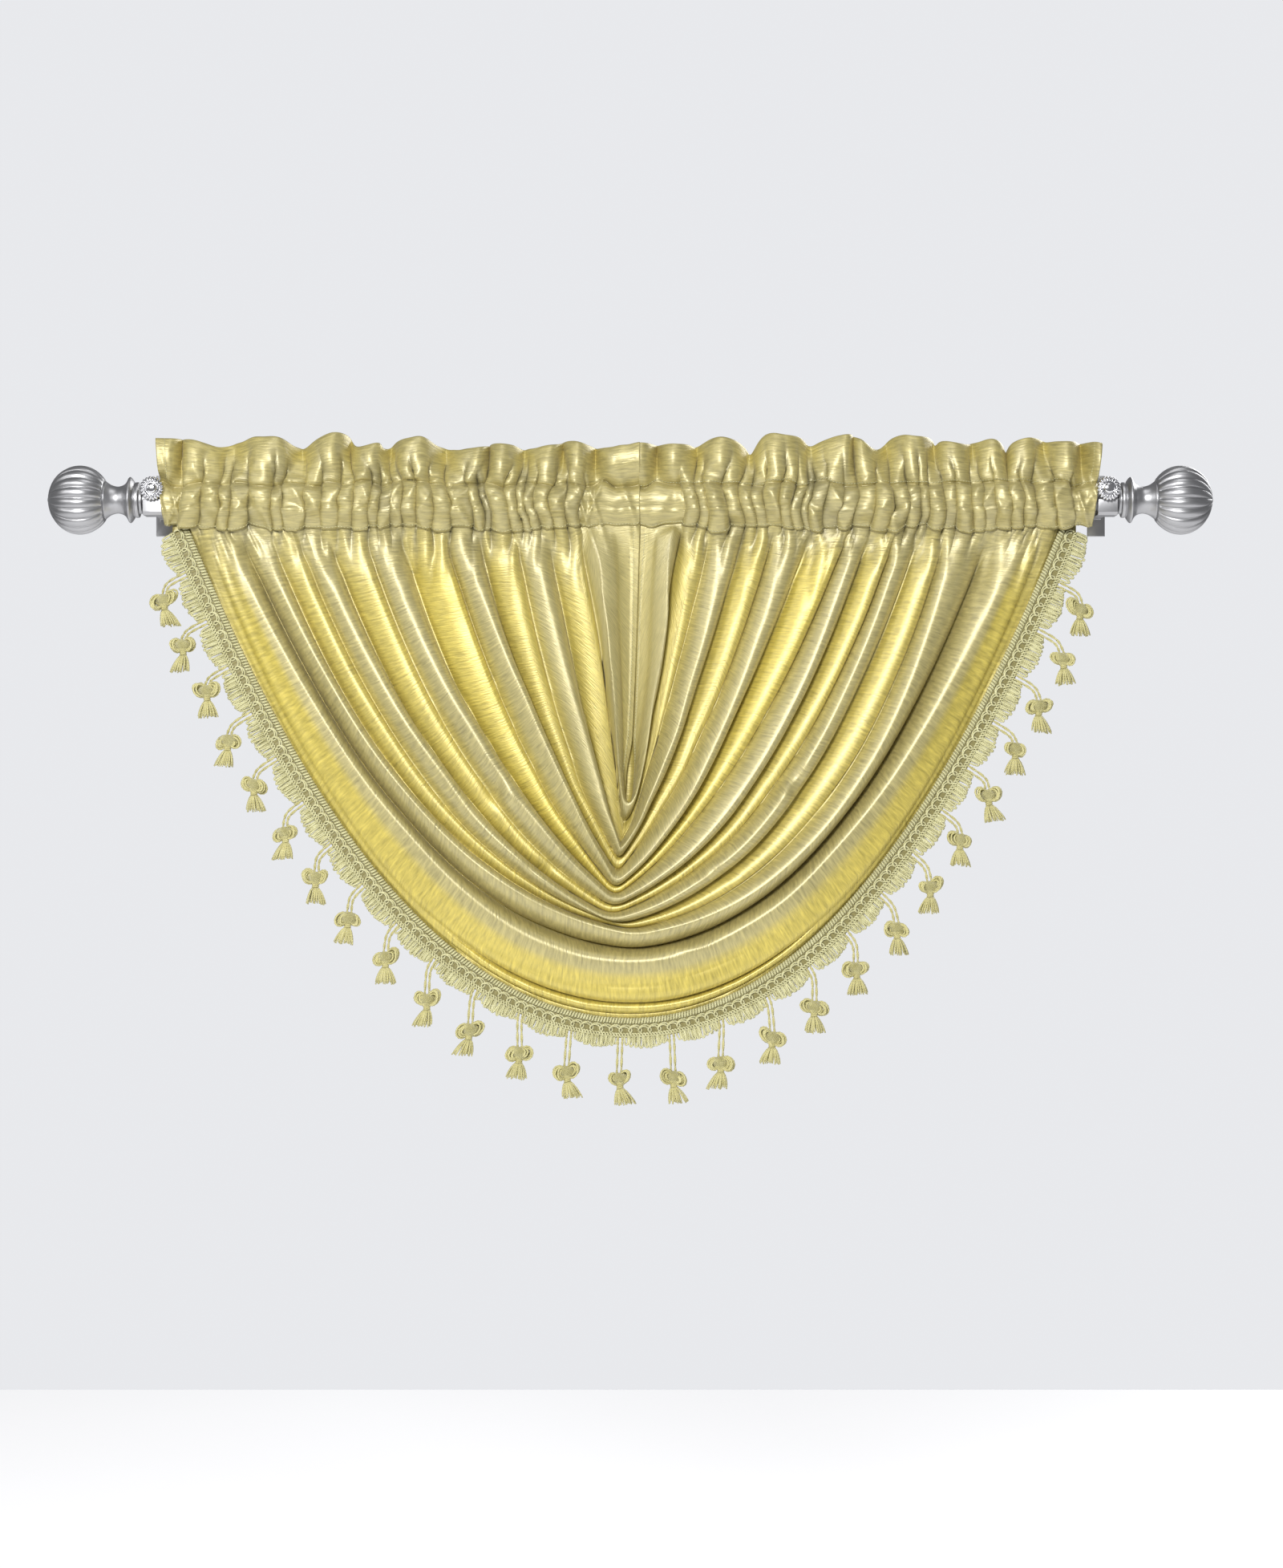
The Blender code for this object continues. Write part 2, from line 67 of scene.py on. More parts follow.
class Socket:
    """An output of a shader node; arithmetic on it adds Math nodes."""

    def __init__(self, graph: "Graph", link: bpy.types.NodeSocket) -> None:
        """Keeps the graph and the output."""
        self.graph = graph
        self.link = link

    def _math(self, operation: str, first: Any, second: Any = 0.0) -> "Socket":
        """A Math node on two values or links."""
        return self.graph.node("ShaderNodeMath", {"operation": operation}, {0: first, 1: second})

    def __add__(self, other: Any) -> "Socket":
        """This plus another."""
        return self._math("ADD", self, other)

    def __radd__(self, other: Any) -> "Socket":
        """Another plus this."""
        return self._math("ADD", other, self)

    def __mul__(self, other: Any) -> "Socket":
        """This times another."""
        return self._math("MULTIPLY", self, other)

    def __rmul__(self, other: Any) -> "Socket":
        """Another times this."""
        return self._math("MULTIPLY", other, self)

    def __truediv__(self, other: Any) -> "Socket":
        """This over another."""
        return self._math("DIVIDE", self, other)

    def __rtruediv__(self, other: Any) -> "Socket":
        """Another over this."""
        return self._math("DIVIDE", other, self)

    def lower_of(self, other: Any) -> "Socket":
        """The lower of this and another."""
        return self._math("MINIMUM", self, other)

    def sine(self) -> "Socket":
        """The sine of this."""
        return self._math("SINE", self)


Value = Union[Socket, float, Sequence[float]]


class Graph:
    """A material's node tree with its Principled shader."""

    def __init__(self, name: str) -> None:
        """Starts a material of that name."""
        self.material = bpy.data.materials.new(name)
        self.material.use_nodes = True
        self.tree = self.material.node_tree
        self.shader = self.tree.nodes["Principled BSDF"]

    def node(
        self,
        kind: str,
        settings: dict[str, Any] | None = None,
        values: dict[int | str, Value] | None = None,
        output: int | str = 0,
    ) -> Socket:
        """Adds a node.

        Args:
            kind: the node's type.
            settings: its own settings, set first.
            values: numbers, colours or links for its inputs.
            output: which output is wanted.

        Returns:
            That output.
        """
        made = self.tree.nodes.new(kind)
        for key, value in (settings or {}).items():
            setattr(made, key, value)
        for key, value in (values or {}).items():
            self._feed(made.inputs[key], value)
        return Socket(self, made.outputs[output])

    def _feed(self, entry: bpy.types.NodeSocket, value: Value) -> None:
        """Links an output to an input, or sets the input's own value."""
        if isinstance(value, Socket):
            self.tree.links.new(value.link, entry)
        elif entry.type == "RGBA" and len(value) == 3:
            entry.default_value = (*value, 1.0)
        else:
            entry.default_value = value

    def set(self, **entries: Value) -> None:
        """Feeds the shader's inputs; Base_Color stands for Base Color."""
        for key, value in entries.items():
            self._feed(self.shader.inputs[key.replace("_", " ")], value)

    def uv(self) -> Socket:
        """The piece's own map."""
        return self.node("ShaderNodeTexCoord", output="UV")

    def place(self) -> Socket:
        """The point on the piece, in metres."""
        return self.node("ShaderNodeTexCoord", output="Object")

    def scaled(self, vector: Socket, scale: Sequence[float]) -> Socket:
        """A vector times another, part by part."""
        return self.node(
            "ShaderNodeVectorMath", {"operation": "MULTIPLY"}, {0: vector, 1: tuple(scale)}
        )

    def noise(self, vector: Socket, scale: float, detail: float = 2.0) -> Socket:
        """Smooth chance values from 0 to 1."""
        return self.node(
            "ShaderNodeTexNoise", values={"Vector": vector, "Scale": scale, "Detail": detail}
        )

    def mix(self, share: Value, first: Value, second: Value, blend: str = "MIX") -> Socket:
        """One colour blended with another: inputs 6 and 7 and output 2 are the colours."""
        settings = {"data_type": "RGBA", "blend_type": blend}
        return self.node("ShaderNodeMix", settings, {0: share, 6: first, 7: second}, 2)

    def bump(self, height: Socket, distance: float, strength: float = 1.0) -> Socket:
        """A normal bent by a height."""
        return self.node(
            "ShaderNodeBump", values={"Height": height, "Distance": distance, "Strength": strength}
        )


# Finishes


class Slot(Enum):
    """Names of material slots; no piece here is given one."""

    CLOTH = "cloth"
    TRIM = "trim"
    STEEL = "steel"
    CHROME = "chrome"


@dataclass(frozen=True)
class Satin:
    """Gold satin with fine slubs that run across the folds.

    The tone attribute runs from 0 on the ridges, grey-gold with painted sheen, to 1 in the
    clear yellow between them, and down to -1 deep in a crease, where painted shade
    darkens the cloth. Slubs are noise stretched along the map's first direction.
    """

    # ridge is the grey-gold of painted sheen on the ridges; hollow is the cloth's own clear yellow
    ridge: Colour = (0.435, 0.378, 0.158)
    hollow: Colour = (0.575, 0.465, 0.082)
    slub_length: float = 90.0  # per metre
    slub_pitch: float = 540.0
    slub_height: float = 0.00055
    long_slub: tuple[float, float] = (2.6, 1.6)  # how much longer and wider than a fine one
    long_share: float = 0.35
    streak: float = 1.40  # how strongly the slubs show in the shade
    cloud: float = 0.16  # and the broad patches
    least_shade: float = 0.215
    crease_painted_shade: float = 0.60
    roughness: float = 0.44
    rough_range: float = 0.30

    def make(self) -> bpy.types.Material:
        """The finished material."""
        graph = Graph("gold_satin")
        tone = graph.node("ShaderNodeAttribute", {"attribute_name": "tone"}, output="Fac")
        uv = graph.uv()
        length, pitch = self.slub_length, self.slub_pitch
        longer, wider = self.long_slub
        fine = graph.noise(graph.scaled(uv, (length, pitch, 1)), 1.0)
        long = graph.noise(graph.scaled(uv, (length / longer, pitch / wider, 1)), 1.0, 1.0)
        slub = fine * (1 - self.long_share) + long * self.long_share
        patch = graph.noise(graph.place(), 11.0)
        base = graph.mix(tone, self.ridge, self.hollow)
        shade = slub * self.streak + patch * self.cloud + self.least_shade
        # Painted shade: where the tone is below 0, deep in a crease, the colour darkens
        shade = shade * (tone.lower_of(0.0) * self.crease_painted_shade + 1.0)
        grey = graph.node("ShaderNodeCombineColor", values={0: shade, 1: shade, 2: shade})
        graph.set(
            Base_Color=graph.mix(1.0, base, grey, "MULTIPLY"),
            Metallic=0.30,
            Roughness=slub * self.rough_range + (self.roughness - self.rough_range / 2),
            Normal=graph.bump(slub, self.slub_height),
            Specular_IOR_Level=1.0,
            Sheen_Weight=0.08,
            Sheen_Roughness=0.4,
            Coat_Weight=0.35,
            Coat_Roughness=0.34,
        )
        return graph.material


@dataclass(frozen=True)
class Thread:
    """Pale twisted thread of the trim.

    The ply is a sine of the turn round the thread plus the length gone along it. It
    bends the normal and darkens the colour in the grooves between plies, which is
    painted shade; the rest of the colour's change is chance.
    """

    name: str
    light: Colour
    dark: Colour
    plies: float = 2.0
    ply_pitch: float = 0.0026
    twist_share: float = 0.30  # of the mix towards dark: painted shade in the ply grooves; the rest is chance
    roughness: float = 0.44
    rough_range: float = 0.12

    def make(self) -> bpy.types.Material:
        """The finished material."""
        graph = Graph(self.name)
        uv = graph.uv()
        turn, length = (
            graph.node("ShaderNodeSeparateXYZ", values={0: uv}, output=part) for part in (0, 1)
        )
        wound = turn * self.plies + length / self.ply_pitch
        twist = (wound * (2 * math.pi)).sine() * 0.5 + 0.5
        patch = graph.noise(graph.place(), 160.0)
        # Painted shade: the ply's grooves take the dark colour
        shade = patch * (1 - self.twist_share) + twist * self.twist_share
        graph.set(
            Base_Color=graph.mix(shade, self.dark, self.light),
            Roughness=patch * self.rough_range + self.roughness,
            Normal=graph.bump(twist, 0.0003, 0.7),
            Sheen_Weight=0.25,
            Sheen_Roughness=0.35,
        )
        return graph.material


@dataclass(frozen=True)
class Metal:
    """Silver metal with faint streaks and a slightly uneven polish."""

    name: str
    colour: Colour
    roughness: float
    uneven: float
    grain: float = 420.0
    dull: float = 0.80  # of the colour, in its cloudy patches

    def make(self) -> bpy.types.Material:
        """The finished material."""
        graph = Graph(self.name)
        place = graph.place()
        grain = graph.noise(graph.scaled(place, (6, 1, 1)), self.grain, 3.0)
        cloud = graph.noise(place, 45.0)
        dull = tuple(self.dull * part for part in self.colour)
        graph.set(
            Base_Color=graph.mix(cloud, dull, self.colour),
            Metallic=1.0,
            Roughness=cloud * self.uneven + (self.roughness - self.uneven / 2),
            Normal=graph.bump(grain, 0.00004, 0.6),
        )
        return graph.material


@dataclass(frozen=True)
class Paper:
    """Plain pale studio surface."""

    colour: Colour = (0.86, 0.86, 0.87)
    shade: float = 0.97  # of the colour, in its darker patches
    glow: float = 0.55

    def make(self) -> bpy.types.Material:
        """The finished material."""
        graph = Graph("studio_paper")
        cloud = graph.noise(graph.place(), 3.0)
        darker = tuple(self.shade * part for part in self.colour)
        graph.set(
            Base_Color=graph.mix(cloud, darker, self.colour),
            Roughness=0.9,
            Emission_Color=self.colour,
            Emission_Strength=self.glow,
        )
        return graph.material


# Surfaces


@dataclass
class Shape:
    """Points, four-sided faces, and the map at each face's corners."""

    points: Array
    quads: Array
    uv: Array

    def outward(self) -> "Shape":
        """Turns the faces of a closed shape outwards.

        Its volume is the sum over faces of a . (b x c + c x d) / 6.
        """
        a, b, c, d = (self.points[self.quads[:, i]] for i in range(4))
        volume = np.sum(a * (np.cross(b, c) + np.cross(c, d)))
        if volume < 0:
            self.quads, self.uv = self.quads[:, ::-1], self.uv[:, ::-1]
        return self

    @staticmethod
    def join(shapes: Sequence["Shape"]) -> "Shape":
        """Several shapes as one."""
        starts = np.cumsum([0] + [len(shape.points) for shape in shapes[:-1]])
        return Shape(
            np.concatenate([shape.points for shape in shapes]),
            np.concatenate([shape.quads + start for shape, start in zip(shapes, starts)]),
            np.concatenate([shape.uv for shape in shapes]),
        )


def lattice(points: Array, uv: Array | None = None, around: bool = False) -> Shape:
    """Faces over rows by columns of points.

    Args:
        points: rows by columns by 3.
        uv: rows by columns by 2, with one column more where it closes round.
        around: whether the last column meets the first.

    Returns:
        The surface; one that closes round is capped at both ends.
    """
    rows, columns = points.shape[:2]
    wide = columns + around
    if uv is None:
        v, u = np.meshgrid(np.linspace(0, 1, rows), np.linspace(0, 1, wide), indexing="ij")
        uv = np.stack([u, v], axis=-1)
    i, j = np.meshgrid(np.arange(rows - 1), np.arange(wide - 1), indexing="ij")
    corners = [(i, j), (i, j + 1), (i + 1, j + 1), (i + 1, j)]
    quads = np.stack([a * columns + b % columns for a, b in corners], axis=-1).reshape(-1, 4)
    spots = np.stack([uv[a, b] for a, b in corners], axis=-2).reshape(-1, 4, 2)
    if not around:
        return Shape(points.reshape(-1, 3), quads, spots)
    near = cap(columns)
    quads = np.concatenate([quads, near, near[:, ::-1] + (rows - 1) * columns])
    spots = np.concatenate([spots, np.zeros((2 * len(near), 4, 2))])
    return Shape(points.reshape(-1, 3), quads, spots).outward()


def cap(sides: int) -> Array:
    """Faces that close a ring of an even number of points, in a fan from the first."""
    start = np.arange(1, sides - 2, 2)
    return np.stack([0 * start, start + 2, start + 1, start], axis=-1)


def ring(count: int) -> Array:
    """Angles of points evenly round a circle."""
    return 2 * np.pi * np.arange(count) / count


def gone_along(points: Array, axis: int = 0) -> Array:
    """The length gone along lines of points, from 0 at the first."""
    step = np.linalg.norm(np.diff(points, axis=axis), axis=-1)
    return np.concatenate([0 * step.take([0], axis), np.cumsum(step, axis=axis)], axis=axis)


def square_to(paths: Array, facing: Array | Sequence[float]) -> tuple[Array, Array]:
    """Two unit directions square to each path; the first is square to the facing one too."""
    along = np.gradient(paths, axis=-2)
    across = np.cross(along, np.broadcast_to(facing, paths.shape))
    across /= np.linalg.norm(across, axis=-1, keepdims=True)
    deep = np.cross(across, along)
    return across, deep / np.linalg.norm(deep, axis=-1, keepdims=True)


def tubes(
    paths: Array, radius: Array | float, sides: int = 4, facing: Array | Sequence[float] = (0, 1, 0)
) -> Shape:
    """Round threads along many paths at once.

    A ring's point is the path's point plus radius (cos a . across + sin a . deep),
    where across is square to the path and to the facing direction.

    Args:
        paths: threads by points by 3.
        radius: of each point of each thread, or of all.
        sides: an even number.
        facing: a direction that no path runs in, for all or for each thread.

    Returns:
        All the threads as one shape, each closed at its ends.
    """
    count, length = paths.shape[:2]
    across, deep = square_to(paths, facing)
    angle = ring(sides)[:, None]
    circle = np.cos(angle) * across[..., None, :] + np.sin(angle) * deep[..., None, :]
    thick = np.broadcast_to(radius, (count, length))[..., None, None]
    points = paths[:, :, None] + thick * circle
    gone = gone_along(paths, 1)
    one = lattice(points[0], around=True)
    body = len(one.quads) - 2 * len(cap(sides))
    share = np.broadcast_to(np.arange(length)[:, None], (length, sides + 1))
    order = np.stack([share, share], axis=-1)
    index = lattice(points[0], order, around=True).uv[..., 1].astype(int)
    uv = np.broadcast_to(one.uv, (count, *one.uv.shape)).copy()
    uv[:, :body, :, 1] = gone[:, index[:body]]
    quads = one.quads[None] + (np.arange(count) * length * sides)[:, None, None]
    return Shape(points.reshape(-1, 3), quads.reshape(-1, 4), uv.reshape(-1, 4, 2)).outward()


def turned(profile: Array, around: int, change: Array | float = 0.0) -> Array:
    """Points of a piece turned about a line along X.

    Args:
        profile: rows of distance along and radius.
        around: points in a ring.
        change: rows by around, added to the radius.

    Returns:
        Rows by around by 3: along, -radius cos a, radius sin a.
    """
    angle = ring(around)
    along = np.broadcast_to(profile[:, :1], (len(profile), around))
    radius = profile[:, 1:] + change
    return np.stack([along, radius * -np.cos(angle), radius * np.sin(angle)], axis=-1)


def rounded(rows: Array, count: int) -> Array:
    """A smooth line through a table's rows.

    Between rows b and c, with a and d beside them, it is the cubic
    b + s ((c - a) + s (2a - 5b + 4c - d + s (3 (b - c) + d - a))) / 2.
    """
    rows = np.asarray(rows, float)
    padded = np.concatenate([rows[:1] * 2 - rows[1:2], rows, rows[-1:] * 2 - rows[-2:-1]])
    place = np.linspace(0, len(rows) - 1, count)
    cell = np.minimum(place.astype(int), len(rows) - 2)
    s = (place - cell)[:, None]
    a, b, c, d = (padded[cell + i] for i in range(4))
    return b + 0.5 * s * ((c - a) + s * (2 * a - 5 * b + 4 * c - d + s * (3 * (b - c) + d - a)))


def ripples(x: Array, pitch: float, seed: int) -> Array:
    """Smooth chance waves from -1 to 1, with random heights a pitch apart."""
    count = 2048
    heights = np.random.default_rng(seed).uniform(-1, 1, count)
    cell = np.floor(x / pitch).astype(int)
    share = ease(x / pitch - cell)
    return heights[cell % count] * (1 - share) + heights[(cell + 1) % count] * share


def ease(x: Array) -> Array:
    """0 below 0, 1 above 1, and 3x^2 - 2x^3 between."""
    x = np.clip(x, 0, 1)
    return x * x * (3 - 2 * x)


def bell(x: Array) -> Array:
    """exp(-x^2): 1 at 0 and next to nothing past 2."""
    return np.exp(-(x**2))


def put(name: str, data: bpy.types.ID) -> bpy.types.Object:
    """An object for a mesh, a light or a camera, linked into the scene."""
    made = bpy.data.objects.new(name, data)
    bpy.context.scene.collection.objects.link(made)
    return made


def mesh_of(name: str, shape: Shape, look: bpy.types.Material) -> bpy.types.Mesh:
    """A mesh with a shape's faces and map, in one material."""
    mesh = bpy.data.meshes.new(name)
    mesh.from_pydata(shape.points.tolist(), [], shape.quads.tolist())
    mesh.uv_layers.new(name="UVMap").data.foreach_set("uv", shape.uv.ravel())
    mesh.materials.append(look)
    return mesh


def add_piece(
    name: str, shape: Shape, look: bpy.types.Material, tone: Array | None = None
) -> bpy.types.Object:
    """A piece of the object, riding on its one body.

    Args:
        name: the piece's name.
        shape: its surface.
        look: its material.
        tone: a value for each point, kept as the tone attribute.

    Returns:
        The piece.
    """
    mesh = mesh_of(name, shape, look)
    if tone is not None:
        mesh.attributes.new("tone", "FLOAT", "POINT").data.foreach_set("value", tone.ravel())
    mesh.shade_smooth()
    piece = put(name, mesh)
    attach(piece, "root")
    log.info("%s: %d faces", name, len(mesh.polygons))
    return piece


# Cloth


class Fold(NamedTuple):
    """A crest as in the solids: where it leaves each pocket, its lean there, its tip, its
    rise at the tip, how far it bulges and stands forward, its tone, and how deep the
    hollow beyond it is."""

    name: str
    left_head: float
    left_lean: float
    left_rise: float
    tip_x: float
    tip_z: float
    right_rise: float
    right_lean: float
    right_head: float
    bulge: float
    stand_head: float
    stand_tip: float
    # tone: 0 is the grey-gold of painted sheen, 1 the cloth's clear yellow
    tone: float
    hollow: float


FOLDS = (
    Fold(
        "hem", 0.0094, -1.3, 93.8, -0.0024, -0.306, 81.9, 0.9, 0.0090,
        0.004, 0.000, -0.003, 0.20, 0.00,
    ),
    Fold("a", -0.044, 22, 86, -0.0024, -0.311, 83, 23, 0.043, 0.008, 0.004, 0.010, 0.05, 0.90),
    Fold("b", -0.060, 11, 76, -0.006, -0.332, 72, 12, 0.069, 0.012, 0.004, -0.001, 0.75, 1.00),
    Fold("c", -0.102, 13.5, 62, -0.010, -0.350, 59, 15, 0.103, 0.022, 0.005, 0.011, 0.05, 1.00),
    Fold("d", -0.126, 9, 60, -0.012, -0.366, 50, 15, 0.135, 0.020, 0.0055, 0.000, 0.80, 1.00),
    Fold("e", -0.173, 17, 58, -0.015, -0.382, 38, 17, 0.163, 0.026, 0.005, 0.012, 0.05, 1.00),
    Fold("f", -0.197, 15, 48, -0.016, -0.392, 33, 22, 0.214, 0.025, 0.0065, 0.001, 1.00, 1.00),
    Fold("g", -0.254, 18, 38, -0.016, -0.401, 25, 18, 0.230, 0.028, 0.005, 0.012, 0.00, 1.00),
    Fold("gg", -0.279, 18, 30, -0.019, -0.410, 18, 18, 0.261, 0.027, 0.0055, 0.000, 0.80, 1.00),
    Fold("h", -0.325, 22, 22, -0.020, -0.419, 13, 18, 0.277, 0.029, 0.005, 0.012, 0.05, 1.00),
    Fold("ii", -0.345, 20, 14, -0.004, -0.425, 9, 16, 0.310, 0.028, 0.005, 0.001, 0.75, 1.00),
    Fold("i", -0.376, 22, 8, 0.004, -0.433, 6, 14, 0.328, 0.030, 0.005, 0.010, 0.05, 1.50),
    Fold("j", -0.411, 25, 0, -0.002, -0.462, 0, 24, 0.398, 0.027, 0.005, 0.009, 0.05, 0.25),
    Fold("k", -0.423, 21, 0, 0.001, -0.495, 0, 20, 0.411, 0.020, 0.003, 0.006, 1.00, 0.80),
    Fold("l", -0.432, 21, 0, 0.001, -0.509, 0, 21, 0.420, 0.014, 0.000, 0.003, 0.90, 0.40),
    Fold("edge", -0.441, 22, 0, 0.000, -0.516, 0, 22, 0.429, 0.010, 0.000, 0.000, 0.75, 0.00),
)
HEAD_Z = -0.026
HEAD_OUT = 0.0035


class Line(NamedTuple):
    """A crest's points in the XZ plane and its direction, from the pocket to the tip."""

    points: Array
    along: Array


def crest(fold: Fold, side: int, t: Array) -> Line:
    """A crest's line on one side.

    It is the curve (1-t)^2 head + 2t(1-t) knee + t^2 tip, where the knee is where the
    line that leans away from the pocket meets the line that rises from the tip.

    Args:
        fold: the crest.
        side: -1 left, 1 right.
        t: 0 at the pocket, 1 at the tip.

    Returns:
        Its points and unit direction.
    """
    left = (fold.left_head, fold.left_lean, fold.left_rise)
    right = (fold.right_head, fold.right_lean, fold.right_rise)
    head, lean, rise = left if side < 0 else right
    start, tip = np.array([head, HEAD_Z]), np.array([fold.tip_x, fold.tip_z])
    down = np.array([-side * math.sin(math.radians(lean)), -math.cos(math.radians(lean))])
    up = np.array([side * math.cos(math.radians(rise)), math.sin(math.radians(rise))])
    reach = np.linalg.solve(np.column_stack([down, -up]), tip - start)
    knee = start + reach[0] * down
    t = t[:, None]
    points = (1 - t) ** 2 * start + 2 * t * (1 - t) * knee + t**2 * tip
    along = (1 - t) * (knee - start) + t * (tip - knee)
    return Line(points, along / np.linalg.norm(along, axis=1, keepdims=True))


def outward(along: Array, side: int) -> Array:
    """Square to a crest's line, away from the middle of the cloth."""
    return side * np.column_stack([-along[:, 1], along[:, 0]])


def drop_forward(fold: Fold, t: Array) -> Array:
    """The base of a fold in front of the wall: it swells by its bulge as 1 - (1-t)^2."""
    return ROD_REACH + HEAD_OUT + fold.bulge * (1 - (1 - t) ** 2)


class Loop(NamedTuple):
    """A small hanging crease under the pocket: its middle, half width, depth and strength."""

    x: float
    half: float
    drop: float
    press: float


LOOPS = (
    Loop(-0.206, 0.013, 0.058, 0.0042),
    Loop(-0.381, 0.010, 0.030, 0.0030),
    Loop(-0.129, 0.012, 0.026, 0.0028),
    Loop(-0.300, 0.009, 0.034, 0.0026),
    Loop(-0.066, 0.008, 0.024, 0.0022),
    Loop(0.352, 0.008, 0.055, 0.0040),
    Loop(0.119, 0.009, 0.022, 0.0028),
    Loop(0.177, 0.006, 0.046, 0.0030),
    Loop(0.291, 0.006, 0.028, 0.0028),
    Loop(0.055, 0.007, 0.030, 0.0024),
    Loop(0.238, 0.007, 0.030, 0.0024),
)


class Kink(NamedTuple):
    """A place where a fold is nipped: its middle, size across and along, and depth."""

    x: float
    z: float
    wide: float
    tall: float
    depth: float


KINKS = (
    Kink(-0.135, -0.290, 0.010, 0.018, 0.0030),
    Kink(-0.122, -0.300, 0.008, 0.012, -0.0030),
    Kink(0.165, -0.282, 0.009, 0.016, 0.0040),
    Kink(0.152, -0.293, 0.008, 0.012, -0.0030),
    Kink(-0.090, -0.368, 0.020, 0.006, 0.0022),
    Kink(0.085, -0.372, 0.022, 0.006, 0.0022),
    Kink(0.030, -0.430, 0.022, 0.005, 0.0020),
    Kink(-0.030, -0.444, 0.020, 0.006, 0.0030),
    Kink(0.052, -0.446, 0.018, 0.005, -0.0022),
)

# Crests of the gathered header along the rod, and the line of its top edge.
LEFT_CRESTS = (
    -0.460, -0.437, -0.358, -0.299, -0.261, -0.217, -0.153, -0.129, -0.082, -0.053, -0.017,
)
RIGHT_CRESTS = (0.010, 0.043, 0.091, 0.147, 0.214, 0.231, 0.283, 0.323, 0.362, 0.391, 0.435, 0.468)
LEFT_TOP = (
    (-0.472, 0.061), (-0.437, 0.060), (-0.413, 0.052), (-0.385, 0.059), (-0.358, 0.063),
    (-0.336, 0.053), (-0.324, 0.052), (-0.299, 0.066), (-0.282, 0.062), (-0.269, 0.053),
    (-0.254, 0.057), (-0.247, 0.051), (-0.217, 0.063), (-0.193, 0.053), (-0.173, 0.049),
    (-0.150, 0.053), (-0.129, 0.055), (-0.101, 0.050), (-0.085, 0.054), (-0.069, 0.057),
    (-0.053, 0.057), (-0.022, 0.051), (0.008, 0.057),
)
RIGHT_TOP = (
    (0.010, 0.056), (0.051, 0.054), (0.067, 0.052), (0.091, 0.062), (0.111, 0.054),
    (0.122, 0.045), (0.135, 0.062), (0.147, 0.065), (0.167, 0.062), (0.179, 0.054),
    (0.196, 0.060), (0.214, 0.065), (0.227, 0.062), (0.243, 0.050), (0.267, 0.062),
    (0.298, 0.063), (0.307, 0.055), (0.315, 0.059), (0.335, 0.055), (0.362, 0.060),
    (0.375, 0.046), (0.387, 0.058), (0.405, 0.061), (0.427, 0.057), (0.470, 0.056),
)

# Header and pocket from the stitches behind the rod over the top to those in front:
# in front of the rod's axis, height, share of the ruffle's waves, share of fine gathers.
BACK_HALF = (
    (-0.0010, -0.0240, 0.00, 0.15),
    (-0.0070, -0.0150, 0.00, 0.80),
    (-0.0122, -0.0080, 0.00, 1.00),
    (-0.0140, 0.0000, 0.00, 1.00),
    (-0.0112, 0.0085, 0.00, 0.90),
    (-0.0040, 0.0133, 0.00, 0.75),
    (-0.0011, 0.0148, 0.05, 0.70),
    (-0.0030, 0.0195, 0.20, 0.75),
    (-0.0042, 0.0300, 0.55, 0.50),
    (-0.0036, 0.0460, 0.90, 0.15),
    (-0.0020, 0.0575, 1.00, 0.05),
)
TOP_ROW = ((0.0000, 0.0600, 1.00, 0.0),)
FRONT_FOOT = (
    (0.0122, -0.0120, 0.00, 1.00),
    (0.0086, -0.0220, 0.00, 0.86),
    (0.0056, -0.0290, 0.00, 0.74),
)
TOP_Z = 0.0600
STITCH_Z = 0.0148  # under the ruffle
HEM_STITCH_Z = -0.0225  # under the rod

# Creases that cross the pocket, along the rod.
LEFT_TUCKS = (
    -0.447, -0.428, -0.410, -0.400, -0.382, -0.358, -0.349, -0.326, -0.310, -0.293, -0.279,
    -0.262, -0.253, -0.241, -0.230, -0.216, -0.200, -0.183, -0.160, -0.150, -0.143, -0.123,
    -0.112, -0.104, -0.094, -0.079, -0.064, -0.050,
)
RIGHT_TUCKS = (
    0.052, 0.066, 0.075, 0.095, 0.111, 0.123, 0.135, 0.151, 0.163, 0.174, 0.181, 0.195, 0.211,
    0.225, 0.243, 0.259, 0.275, 0.287, 0.295, 0.311, 0.323, 0.339, 0.351, 0.363, 0.378, 0.391,
    0.403, 0.424, 0.441,
)


